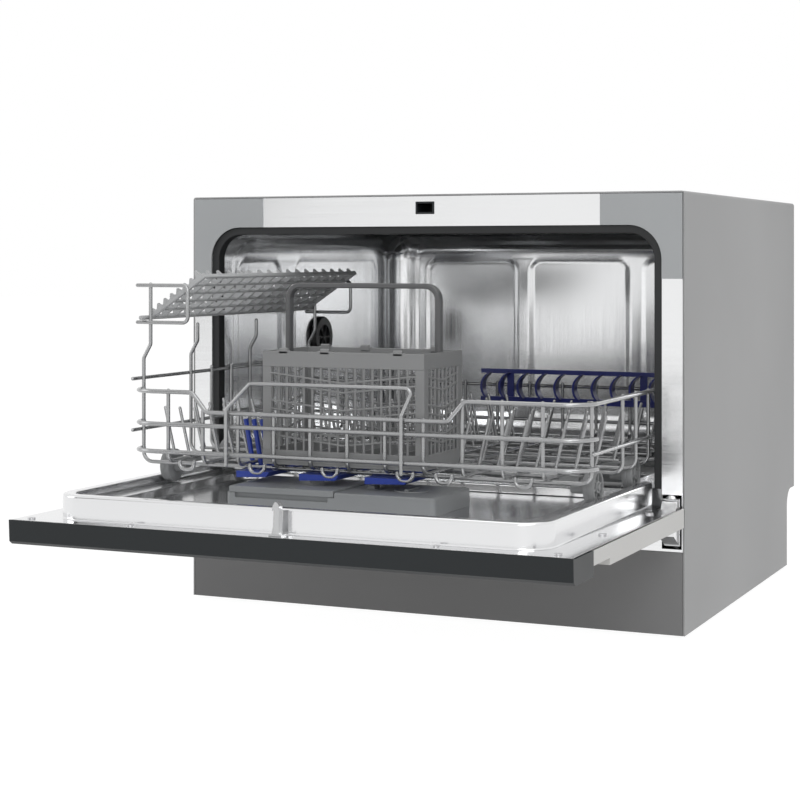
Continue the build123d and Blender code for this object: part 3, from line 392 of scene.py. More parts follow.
class PressedSheet:
    """One pressed metal sheet: strips and flat fills that are welded and given a thickness."""

    def __init__(self, name: str, finish: Finish) -> None:
        """Starts an empty sheet.

        Args:
            name: the piece's name.
            finish: what it wears.
        """
        self.name = name
        self.finish = finish
        self.bm = bmesh.new()

    def strip(self, rows: Sequence[Sequence[Point]], closed: bool = False) -> None:
        """Adds quads between rows that have as many points each.

        Args:
            rows: the rows, in order.
            closed: whether each row is a ring.
        """
        made = [[self.bm.verts.new(p) for p in row] for row in rows]
        count = len(rows[0])
        for low, high in zip(made, made[1:]):
            for k in range(count if closed else count - 1):
                j = (k + 1) % count
                self.bm.faces.new((low[k], low[j], high[j], high[k]))

    def fill(self, *loops: Sequence[Point]) -> None:
        """Fills a flat outline, less any outlines inside it.

        Args:
            loops: the outer outline, then the inner ones.
        """
        edges = []
        for loop in loops:
            ring = [self.bm.verts.new(p) for p in loop]
            edges += [self.bm.edges.new((a, b)) for a, b in zip(ring, ring[1:] + ring[:1])]
        bmesh.ops.triangle_fill(self.bm, use_beauty=True, use_dissolve=False, edges=edges)

    def done(self, probe: Point, seen: Point, thickness: float) -> bpy.types.Object:
        """Welds the sheet, turns its faces to the seen side and thickens it away from there.

        Args:
            probe: a point on the sheet.
            seen: the direction that the sheet faces there.
            thickness: the sheet's thickness in millimetres.
        Returns:
            The finished object.
        """
        bmesh.ops.remove_doubles(self.bm, verts=self.bm.verts, dist=0.02)
        bmesh.ops.dissolve_degenerate(self.bm, dist=0.005, edges=self.bm.edges)
        bmesh.ops.recalc_face_normals(self.bm, faces=self.bm.faces)
        near = min(self.bm.faces, key=lambda f: (f.calc_center_median() - Vector(probe)).length)
        if near.normal.dot(Vector(seen)) < 0.0:
            bmesh.ops.reverse_faces(self.bm, faces=self.bm.faces)
        self.bm.transform(Matrix.Scale(0.001, 4))
        mesh = bpy.data.meshes.new(self.name)
        self.bm.to_mesh(mesh)
        self.bm.free()
        mesh.materials.append(self.finish.build())
        mesh.polygons.foreach_set("use_smooth", [True] * len(mesh.polygons))
        piece = link_object(self.name, mesh)
        wall = piece.modifiers.new("thickness", "SOLIDIFY")
        wall.thickness = mm(thickness)
        wall.offset = -1.0
        even = piece.modifiers.new("even_shading", "WEIGHTED_NORMAL")
        even.weight = 80
        return piece


@dataclass(frozen=True)
class Field:
    """A shallow pressed field with rounded corners on a wall."""

    low: float
    high: float
    bottom: float
    top: float
    corner: float

    def depth(self, along: float, up: float, slope: float) -> float:
        """How deep the field is at a place, from 0 outside to 1 inside.

        Args:
            along: the place along the wall.
            up: the place up the wall.
            slope: the width of the field's sloping edge.
        Returns:
            The share of the field's full depth.
        """
        off = [abs(at - (low + high) / 2.0) - (high - low) / 2.0 + self.corner for at, low, high in
               ((along, self.low, self.high), (up, self.bottom, self.top))]
        outside = math.hypot(max(off[0], 0.0), max(off[1], 0.0)) + min(max(off), 0.0) - self.corner
        return smooth_step(-outside / slope)


@dataclass
class Tub:
    """The pressed steel tub: walls with two levels of fields, ceiling, ledges, floor pan and mouth."""

    half_width: float = 246.0
    top: float = 401.0
    corner: float = 30.0
    ledge_z: float = 145.0
    ledge_in: float = 205.0
    floor_z: float = 118.0
    lip_z: float = 130.0
    mouth_low: float = 99.0
    mouth_grow: float = 6.0
    seal_back: float = 14.5
    pan_front: float = 24.0
    pan_behind: float = 18.0
    pan_r: float = 20.0
    depth: float = 468.0
    inner_z: tuple[float, float] = (168.0, 371.0)
    field_step: float = 1.5
    slope: float = 4.2
    grid: float = 3.0
    thickness: float = 0.8
    face: float = field(init=False)
    back: float = field(init=False)

    def __post_init__(self) -> None:
        """Reads the depth from the frame."""
        self.face = node_box("front_frame")[0].y
        self.back = self.face + self.depth

    def side_fields(self) -> tuple[Field, ...]:
        """The fields of a side wall, along Y."""
        y = self.face
        spans = ((y + 50.0, y + 153.0), (y + 188.0, y + 420.0))
        return (Field(y + 36.0, y + 452.0, 158.0, 389.0, 28.0),
                *[Field(*span, *self.inner_z, 18.0) for span in spans])

    def back_fields(self) -> tuple[Field, ...]:
        """The fields of the back wall, along X."""
        spans = ((-199.0, -72.0), (-56.0, 76.0), (92.0, 208.0))
        return (Field(-214.0, 219.0, 158.0, 391.0, 24.0),
                *[Field(*span, *self.inner_z, 16.0) for span in spans])

    def spread(self, low: float, high: float) -> list[float]:
        """Even places from low to high, about one grid step apart."""
        count = max(1, round(abs(high - low) / self.grid))
        return [low + (high - low) * k / count for k in range(count + 1)]

    def plan(self) -> list[tuple[float, float, float, float, bool, float]]:
        """The walls' outline from above: place, outward direction, whether it is a side, and distance."""
        hw, r = self.half_width, self.corner
        turn = self.back - r
        front = self.face + self.seal_back
        left = [(-hw, y, -1.0, 0.0, True, y) for y in self.spread(front, turn)]
        left += [(-hw + r - r * math.cos(a), turn + r * math.sin(a), -math.cos(a), math.sin(a), True,
                  turn + r * a) for a in [math.radians(90.0 * k / 10) for k in range(1, 10)]]
        back = [(x, self.back, 0.0, 1.0, False, x) for x in self.spread(-hw + r, hw - r)]
        return [*left, *back, *[(-x, y, -nx, *rest) for x, y, nx, *rest in reversed(left)]]

    def wall_rows(self) -> list[list[Point]]:
        """Rows of points from the ledge up the walls and round the upper edge."""
        bend = self.top - self.corner
        levels = [(z, z, 0.0) for z in self.spread(self.ledge_z, bend)]
        levels += [(bend + self.corner * a, bend + self.corner * math.sin(a), a)
                   for a in [math.radians(90.0 * k / 10) for k in range(1, 11)]]
        sides, backs = self.side_fields(), self.back_fields()
        rows = []
        for up, z, lean in levels:
            row = []
            for x, y, nx, ny, is_side, along in self.plan():
                fields = sides if is_side else backs
                push = self.field_step * (fields[0].depth(along, up, self.slope)
                                          + max(f.depth(along, up, self.slope) for f in fields[1:]))
                reach = push * math.cos(lean) - self.corner * (1.0 - math.cos(lean))
                row.append((x + nx * reach, y + ny * reach, z + push * math.sin(lean)))
            rows.append(row)
        return rows

    def mouth_loop(self, grow: float, low: float, y: float) -> list[Point]:
        """The outline of the mouth, grown outwards, closed along its bottom."""
        hw = self.half_width + grow
        return [(x, y, z) for x, z in arch(-hw, hw, low, self.top + grow, self.corner + grow)]

    def pan_loop(self, inset: float, z: float, front: float) -> list[Point]:
        """The outline of the floor pan, from the left front round the back to the right front."""
        hw = self.ledge_in - inset
        outline = arch(-hw, hw, front, self.back - self.pan_behind - inset, self.pan_r - inset, 6)
        return [(x, y, z) for x, y in outline]

    def build(self) -> None:
        """Builds the tub and puts it in place of its CAD node."""
        sheet = PressedSheet("tub_pressing", TUB_STEEL)
        rows = self.wall_rows()
        sheet.strip(rows)
        front = self.face + self.seal_back
        pan = self.face + self.pan_front
        sheet.fill(rows[-1])
        ledge = self.pan_loop(0.0, self.ledge_z, front)
        sheet.fill([*rows[0], *reversed(ledge)])
        steps = ((0.0, self.ledge_z), (0.6, self.ledge_z - 2.0), (1.2, self.floor_z + 5.0),
                 (2.6, self.floor_z + 1.4), (6.0, self.floor_z))
        walls = [self.pan_loop(inset, z, pan) for inset, z in steps]
        sheet.strip(walls)
        sheet.fill(walls[-1])
        self.lip(sheet, walls, front)
        outer = self.mouth_loop(self.mouth_grow, self.mouth_low, front)
        inner = self.mouth_loop(0.0, self.ledge_z, front)
        inner += [(self.ledge_in, front, self.ledge_z), (self.ledge_in, front, self.lip_z),
                  (-self.ledge_in, front, self.lip_z), (-self.ledge_in, front, self.ledge_z)]
        sheet.fill(outer, inner)
        sheet.strip([outer, self.mouth_loop(self.mouth_grow, self.mouth_low, self.face + 1.4)], closed=True)
        piece = sheet.done((0.0, 0.0, self.top), (0.0, 0.0, -1.0), self.thickness)
        # The floor pan below the ledge wears the darker steel: painted shade for the dark interior that it
        # reflects.
        piece.data.materials.append(PAN_SHADE_STEEL.build())
        below, behind = mm(self.ledge_z - 0.5), mm(self.face + self.pan_front)
        for polygon in piece.data.polygons:
            if polygon.center.z < below and polygon.center.y > behind:
                polygon.material_index = 1
        settle(piece, "machine", "steel", "tub", "tub_pan")

    def lip(self, sheet: PressedSheet, walls: list[list[Point]], front: float) -> None:
        """The low lip at the front of the pan and the ends of its walls."""
        pan, hw = walls[0][0][1], self.ledge_in
        for x in (-hw, hw):
            sheet.strip([[(x, y, z) for y in (front, pan)] for z in (self.ledge_z, self.lip_z)])
        sheet.strip([[(x, y, self.lip_z) for x in (-hw, hw)] for y in (front, pan)])
        low = [row for row in walls if row[0][2] < self.lip_z]
        sheet.fill([(-hw, pan, self.lip_z), *[row[0] for row in low], *[row[-1] for row in reversed(low)],
                    (hw, pan, self.lip_z)])


@dataclass
class DoorLiner:
    """The pressed steel inside of the door: flange, raised rim, plateau and dish."""

    rim_hw: float = 243.0
    rim_r: float = 30.0
    rim_step: float = 17.8
    plateau_w: float = 32.0
    flange_z: float = 130.0
    plateau_z: float = 145.0
    rim_z: float = 153.0
    dish_z: float = 137.0
    dish_hw: float = 205.0
    dish_r: float = 22.0
    thickness: float = 0.8
    front: float = field(init=False)
    end: float = field(init=False)
    outer_hw: float = field(init=False)
    rim_front: float = field(init=False)

    def __post_init__(self) -> None:
        """Reads the liner's outline from the frame."""
        low, high = node_box("inner_door")
        self.front, self.end, self.outer_hw = low.y, high.y, high.x
        self.rim_front = self.front + self.rim_step

    def rim_row(self, inset: float, z: float) -> list[Point]:
        """One line round the rim, from the left rear round the front to the right rear."""
        hw = self.rim_hw - inset
        outline = arch(-hw, hw, self.end, self.rim_front + inset, max(self.rim_r - inset, 6.0))
        return [(x, y, z) for x, y in outline]

    def dish_ring(self, inset: float, z: float) -> list[Point]:
        """One closed line round the dish."""
        hw, r = self.dish_hw - inset, self.dish_r - inset * 0.5
        low = self.rim_front + self.plateau_w + inset
        high = self.end - self.plateau_w / 2.0 - inset
        corners = (((-hw + r, low + r), 180.0), ((hw - r, low + r), 270.0), ((hw - r, high - r), 0.0),
                   ((-hw + r, high - r), 90.0))
        return [(px, py, z) for centre, start in corners for px, py in arc(centre, r, start, start + 90.0, 8)]

    def build(self) -> None:
        """Builds the liner and puts it in place of its CAD node."""
        sheet = PressedSheet("door_liner", POLISHED)
        flange, plateau, rim = self.flange_z, self.plateau_z, self.rim_z
        steps = ((-1.8, flange), (-0.5, flange + 0.4), (0.0, flange + 1.6), (0.0, rim - 2.6),
                 (0.7, rim - 0.8), (2.6, rim), (9.4, rim), (11.3, rim - 0.8), (12.0, rim - 2.6),
                 (12.0, plateau + 1.2), (12.5, plateau + 0.3), (13.4, plateau))
        rows = [self.rim_row(inset, z) for inset, z in steps]
        sheet.strip(rows)
        notch_y, notch_x = self.end - 25.0, 253.0
        edge = [(-notch_x, self.end), (-notch_x, notch_y), (-self.outer_hw, notch_y),
                (-self.outer_hw, self.front)]
        edge += [(-x, y) for x, y in reversed(edge)]
        sheet.fill([(x, y, flange) for x, y in edge] + list(reversed(rows[0])))
        dish = [self.dish_ring(inset, z) for inset, z in
                ((0.0, plateau), (1.0, plateau - 0.3), (2.2, plateau - 1.4), (5.4, self.dish_z + 1.4),
                 (6.8, self.dish_z + 0.3), (8.2, self.dish_z))]
        sheet.fill(rows[-1], dish[0])
        sheet.strip(dish, closed=True)
        sheet.fill(dish[-1])
        left, right = [row[0] for row in rows], [row[-1] for row in rows]
        sheet.fill(left + list(reversed(right)))
        piece = sheet.done((0.0, self.front + 60.0, self.dish_z), (0.0, 0.0, 1.0), self.thickness)
        settle(piece, "machine", "steel", "inner_door")


# ---------------------------------------------------------------- bent wires


@dataclass
class Wire:
    """A round wire along straight runs with rounded corners, in millimetres."""

    points: list[Point]
    bends: float | list[float] = 0.0


@dataclass
class WireTree:
    """The Geometry Nodes tree that turns routes into round wire with domed ends."""

    name: str = "bent_wire"
    sides: int = 12
    corner_steps: int = 5
    dome_rings: int = 6
    sockets: dict[str, str] = field(default_factory=dict)

    def build(self) -> bpy.types.GeometryNodeTree:
        """Makes the tree.

        Returns:
            The new tree. Its inputs are Wire Radius and Finish, known by identifier in `sockets`.
        """
        tree = bpy.data.node_groups.new(self.name, "GeometryNodeTree")
        plugs = tree.interface
        plugs.new_socket(name="Geometry", in_out="INPUT", socket_type="NodeSocketGeometry")
        for label, kind in (("Wire Radius", "NodeSocketFloat"), ("Finish", "NodeSocketMaterial")):
            self.sockets[label] = plugs.new_socket(name=label, in_out="INPUT", socket_type=kind).identifier
        plugs.new_socket(name="Geometry", in_out="OUTPUT", socket_type="NodeSocketGeometry")
        nodes, links = tree.nodes, tree.links
        source, result = nodes.new("NodeGroupInput"), nodes.new("NodeGroupOutput")
        bend, corner, even, ring, tube, dome, ends, put, join, real, smooth, wear = [
            nodes.new("GeometryNode" + kind) for kind in
            ("InputRadius", "FilletCurve", "SetCurveRadius", "CurvePrimitiveCircle", "CurveToMesh",
             "MeshUVSphere", "CurveEndpointSelection", "InstanceOnPoints", "JoinGeometry", "RealizeInstances",
             "SetShadeSmooth", "SetMaterial")]
        corner.mode = "POLY"
        for node, label, value in ((corner, "Count", self.corner_steps), (corner, "Limit Radius", True),
                                   (even, "Radius", 1.0), (ring, "Resolution", self.sides),
                                   (tube, "Fill Caps", True), (dome, "Segments", self.sides),
                                   (dome, "Rings", self.dome_rings)):
            node.inputs[label].default_value = value
        for start, out, stop, into in (
                (source, "Geometry", corner, "Curve"), (bend, "Radius", corner, "Radius"),
                (corner, "Curve", even, "Curve"), (source, "Wire Radius", ring, "Radius"),
                (even, "Curve", tube, "Curve"), (ring, "Curve", tube, "Profile Curve"),
                (source, "Wire Radius", dome, "Radius"), (even, "Curve", put, "Points"),
                (ends, "Selection", put, "Selection"), (dome, "Mesh", put, "Instance"),
                (tube, "Mesh", join, "Geometry"), (put, "Instances", join, "Geometry"),
                (join, "Geometry", real, "Geometry"), (real, "Geometry", smooth, "Geometry"),
                (smooth, "Geometry", wear, "Geometry"), (source, "Finish", wear, "Material"),
                (wear, "Geometry", result, "Geometry")):
            links.new(start.outputs[out], stop.inputs[into])
        return tree

    def bake(self, name: str, wires: Sequence[Wire], radius: float, finish: Finish) -> bpy.types.Object:
        """Makes one plain mesh of many wires of one gauge.

        Args:
            name: the piece's name.
            wires: the routes.
            radius: the wire's radius in millimetres.
            finish: what the wire wears.
        Returns:
            The baked object, at the origin.
        """
        tree = bpy.data.node_groups.get(self.name) or self.build()
        curve = bpy.data.curves.new(name + "_route", "CURVE")
        curve.dimensions = "3D"
        for wire in wires:
            spline = curve.splines.new("POLY")
            spline.points.add(len(wire.points) - 1)
            bends = wire.bends if isinstance(wire.bends, list) else [wire.bends] * (len(wire.points) - 2)
            for knot, place, bend in zip(spline.points, wire.points, [0.0, *bends, 0.0]):
                knot.co = (*[mm(c) for c in place], 1.0)
                knot.radius = mm(bend)
        route = link_object(name + "_route", curve)
        modifier = route.modifiers.new("wire", "NODES")
        modifier.node_group = tree
        modifier[self.sockets["Wire Radius"]] = mm(radius)
        modifier[self.sockets["Finish"]] = finish.build()
        graph = bpy.context.evaluated_depsgraph_get()
        mesh = bpy.data.meshes.new_from_object(route.evaluated_get(graph), depsgraph=graph)
        mesh.name = name
        bpy.data.objects.remove(route)
        return link_object(name, mesh)


# ---------------------------------------------------------------- rack


@dataclass
class Rack:
    """The coated wire rack: rails, bent cross wires, tines and the loops of the cup shelf."""

    wires: WireTree
    half_width: float = 238.0
    rail_r: float = 2.25
    wire_r: float = 1.9
    tine_r: float = 1.6
    tine_h: float = 49.0
    floor_z: float = 172.0
    rail_z: tuple[float, float, float] = (182.0, 209.0, 241.0)
    dip_z: float = 222.0
    dip_x: tuple[float, float] = (-150.0, 104.0)
    long_count: int = 11
    long_pitch: float = 39.0
    left_z: tuple[float, float] = (201.0, 252.0)
    right_z: float = 196.0
    rear_z: tuple[float, float] = (190.0, 228.0)
    corner_r: float = 26.0
    foot_xs: tuple[float, ...] = (-176.0, -98.0, -20.0, 58.0, 97.0, 175.0)
    foot_hw: float = 8.0
    foot_drop: float = 7.5
    loop_x: tuple[float, float] = (-240.0, -182.0)
    loop_z: tuple[float, float] = (308.0, 345.0)
    loop_steps: tuple[float, float] = (-170.7, 203.7)
    front: float = field(init=False)
    rear: float = field(init=False)
    face: float = field(init=False)

    def __post_init__(self) -> None:
        """Reads where the rack stands from the frame."""
        self.face = node_box("front_frame")[0].y
        self.front = self.face - 190.0
        self.rear = self.face + 213.0

    def build(self) -> None:
        """Builds every wire of the rack and puts it on the rack's body."""
        for name, wires, radius, *nodes in (
                ("rack_rails", self.rails(), self.rail_r, "rack_front", "rack_right"),
                ("rack_long_wires", self.long_wires(), self.wire_r, "rack_floor", "rack_rear"),
                ("rack_cross_wires", self.cross_wires(), self.wire_r, "rack_left"),
                ("rack_tines", self.tines(), self.tine_r, "plate_tines"),
                ("shelf_loops", self.shelf_loops(), self.wire_r, "shelf_brackets")):
            settle(self.wires.bake(name, wires, radius, COATED_WIRE), "rack", "coated_wire", *nodes)

    def rails(self) -> list[Wire]:
        """The front rails that wrap the corners, and the right side's top rail."""
        wrap, front, hw = self.face - 162.0, self.front, self.half_width
        found = [Wire([(-hw, wrap, z), (-hw, front, z), (hw, front, z), (hw, wrap, z)], self.corner_r)
                 for z in self.rail_z[:2]]
        top, (left, right), run = self.rail_z[2], self.dip_x, 16.0
        dip = [(left - run, front, top), (left, front, self.dip_z), (right, front, self.dip_z),
               (right + run, front, top)]
        route = [(-hw, wrap, top), (-hw, front, top), *dip, (hw, front, top), (hw, self.rear + 3.0, top)]
        return [*found, Wire(route, [self.corner_r, 8.0, 8.0, 8.0, 8.0, self.corner_r])]

    def long_wires(self) -> list[Wire]:
        """The wires that come down the front, run under the floor and rise at the rear."""
        y, rear, floor = self.front + 3.8, self.rear - 3.6, self.floor_z
        found = []
        for k in range(self.long_count):
            x = self.long_pitch * (k - (self.long_count - 1) / 2)
            top = self.dip_z if self.dip_x[0] - 8.0 < x < self.dip_x[1] + 8.0 else self.rail_z[2]
            ends = top + 1.0, self.rear_z[1] + 3.0
            found.append(Wire([(x, y, ends[0]), (x, y, floor), (x, rear, floor), (x, rear, ends[1])], 9.0))
        hw, foot_y, low = self.half_width + 1.0, self.front + 7.6, floor - self.foot_drop
        found += [Wire([(-hw, self.rear, z), (hw, self.rear, z)]) for z in self.rear_z]
        for x in self.foot_xs:
            x0, x1 = x - self.foot_hw, x + self.foot_hw
            found.append(Wire([(x0, foot_y, floor), (x0, foot_y, low), (x1, foot_y, low),
                               (x1, foot_y, floor)], 6.5))
        hoop = self.front - 3.8
        found.append(Wire([(-126.0, hoop, floor), (-126.0, hoop, 226.0), (-99.0, hoop - 1.4, 252.0),
                           (72.0, hoop - 1.4, 252.0), (59.0, hoop, 226.0), (59.0, hoop, floor)], 5.0))
        return found

    def cross_wires(self) -> list[Wire]:
        """The wires that cross the floor and rise at the sides, with the cranked posts on the left."""
        tall = {-167.0: 346.0, -74.0: 303.0, 55.0: 303.0, 200.0: 346.0}
        low, right, left = self.floor_z - 3.2, self.half_width - 3.2, -self.half_width + 3.0
        found = []
        for step in (-167.0, -74.0, -31.0, 12.0, 55.0, 141.0, 200.0):
            y = self.face + step
            end = [(-right, y, low), (right, y, low), (right, y, self.rail_z[2] + 1.0)]
            if step in tall:
                post = [(left + 8.0, y, tall[step]), (left + 8.0, y, 286.0), (left, y, 272.0), (left, y, low)]
                found.append(Wire(post + end[1:], [6.0, 6.0, 10.0, 10.0]))
            else:
                found.append(Wire([(-right, y, self.left_z[1] + 4.0), *end], 10.0))
        found += [Wire([(-212.0, self.face + step, low), (212.0, self.face + step, low)])
                  for step in (-117.0, 98.0)]
        side = [(-self.half_width - 0.5, -182.0, z) for z in self.left_z]
        side.append((self.half_width + 0.3, -172.0, self.right_z))
        return found + [Wire([(x, self.face + step, z), (x, self.rear + 4.0, z)]) for x, step, z in side]

    def tine_row(self, x0: float, count: int, pitch: float, y: float, lean: float) -> list[Wire]:
        """One row of leaning tines on its foot wire.

        Args:
            x0: where the first tine stands.
            count: how many tines.
            pitch: the distance between them.
            y: where the row stands.
            lean: how far each tip is beside its foot.
        Returns:
            The foot wire and the tines.
        """
        foot = self.floor_z + 3.0
        tines = [Wire([(x, y, foot), (x + lean, y, self.floor_z + self.tine_h)]) for x in
                 [x0 + pitch * k for k in range(count)]]
        return [Wire([(x0 - 4.0, y, foot), (x0 + pitch * (count - 1) + 4.0, y, foot)]), *tines]

    def tines(self) -> list[Wire]:
        """All rows of tines: left, right and middle."""
        steps = (-142.0, -82.0, -22.0, 38.0, 98.0, 158.0)
        blocks = ((-214.0, 7, 17.0, steps[:3], -11.0), (96.0, 7, 19.0, steps[:5], 11.0),
                  (-150.0, 10, 21.0, steps[3:], -9.0))
        return [wire for x0, count, pitch, rows, lean in blocks for step in rows
                for wire in self.tine_row(x0, count, pitch, self.face + step, lean)]

    def shelf_loops(self) -> list[Wire]:
        """The two loops that carry the cup shelf."""
        (x0, x1), (low, high) = self.loop_x, self.loop_z
        return [Wire([(x0, self.face + step, high), (x1, self.face + step, high),
                      (x1, self.face + step, low), (x0, self.face + step, low)], 6.0)
                for step in self.loop_steps]


# ---------------------------------------------------------------- moulded solids


class Moulding:
    """One moulded piece, gathered from closed bars, plates and turned bodies in millimetres."""

    def __init__(self, name: str, finish: Finish) -> None:
        """Starts an empty moulding.

        Args:
            name: the piece's name.
            finish: what it wears.
        """
        self.name = name
        self.finish = finish
        self.points: list[Vector] = []
        self.faces: list[tuple[int, ...]] = []

    def skin(self, sections: Sequence[Sequence[Sequence[float]]]) -> None:
        """Adds a body that runs through closed sections, with flat ends.

        Args:
            sections: the sections in order, each with as many points.
        """
        base, count = len(self.points), len(sections[0])
        self.points += [Vector(p) for section in sections for p in section]
        last = base + (len(sections) - 1) * count
        self.faces.append(tuple(base + k for k in reversed(range(count))))
        self.faces.append(tuple(last + k for k in range(count)))
        for a in range(base, last, count):
            for k in range(count):
                j = (k + 1) % count
                self.faces.append((a + k, a + j, a + count + j, a + count + k))

    def prism(self, outline: Sequence[Flat], low: float, high: float, place: Place) -> None:
        """Adds a flat outline carried from one height to another.

        Args:
            outline: its corners as (u, v).
            low: where it starts.
            high: where it ends.
            place: turns (u, v, height) into a point.
        """
        self.skin([[place(u, v, height) for u, v in outline] for height in (low, high)])

    def bar(self, low: Sequence[float], high: Sequence[float], soft: float = 0.5,
            place: Place = lambda x, y, z: (x, y, z)) -> None:
        """Adds a bar between two corners, with its four long edges broken.

        Args:
            low: its lowest corner.
            high: its highest corner.
            soft: how much is taken off its edges.
            place: turns its own (x, y, z) into a point.
        """
        size = [high[k] - low[k] for k in range(3)]
        axis = size.index(max(size))
        u, v = [k for k in range(3) if k != axis]
        cut = min(soft, size[u] * 0.3, size[v] * 0.3)
        outline = [(low[u] + cut, low[v]), (high[u] - cut, low[v]), (high[u], low[v] + cut),
                   (high[u], high[v] - cut), (high[u] - cut, high[v]), (low[u] + cut, high[v]),
                   (low[u], high[v] - cut), (low[u], low[v] + cut)]

        def spot(a: float, b: float, height: float) -> Sequence[float]:
            """Puts the outline's two places and the height back in order."""
            found = [0.0, 0.0, 0.0]
            found[u], found[v], found[axis] = a, b, height
            return place(*found)

        self.prism(outline, low[axis], high[axis], spot)

    def turned(self, profile: Sequence[Flat], place: Place, sides: int) -> None:
        """Adds a turned body from a profile that starts and ends on its axis.

        Args:
            profile: (radius, height) of each ring, with a radius of 0 at both ends.
            place: turns (x, y, height) into a point, with the axis at (0, 0).
            sides: how many sides it has.
        """
        rings = profile[1:-1]
        first = len(self.points) + 1
        top = first + (len(rings) - 1) * sides
        turns = [2.0 * math.pi * k / sides for k in range(sides)]
        around = [(r * math.cos(a), r * math.sin(a), height) for r, height in rings for a in turns]
        ends = [(0.0, 0.0, profile[0][1]), (0.0, 0.0, profile[-1][1])]
        self.points += [Vector(place(*spot)) for spot in (ends[0], *around, ends[1])]
        for k in range(sides):
            j = (k + 1) % sides
            self.faces += [(first - 1, first + j, first + k), (top + k, top + j, top + sides)]
            self.faces += [(a + k, a + j, a + sides + j, a + sides + k) for a in range(first, top, sides)]

    def done(self, sharp: float = 32.0) -> bpy.types.Object:
        """Turns the faces outwards and marks the sharp edges.

        Args:
            sharp: the angle in degrees past which an edge is sharp.
        Returns:
            The finished object.
        """
        mesh = bpy.data.meshes.new(self.name)
        mesh.from_pydata([tuple(mm(c) for c in p) for p in self.points], [], self.faces)
        mesh.polygons.foreach_set("use_smooth", [True] * len(mesh.polygons))
        mesh.materials.append(self.finish.build())
        work = bmesh.new()
        work.from_mesh(mesh)
        bmesh.ops.recalc_face_normals(work, faces=work.faces)
        work.to_mesh(mesh)
        work.free()
        mesh.set_sharp_from_angle(angle=math.radians(sharp))
        return link_object(self.name, mesh)


def strut_places(low: float, high: float, cell: float, strut: float) -> list[float]:
    """Places of the struts between even openings.

    Args:
        low: where the first opening starts.
        high: where the last opening ends.
        cell: about how wide an opening is.
        strut: how wide a strut is.
    Returns:
        The middles of the struts between the openings.
    """
    count = round((high - low + strut) / (cell + strut))
    pitch = (high - low + strut) / count
    return [low - strut / 2.0 + pitch * k for k in range(1, count)]


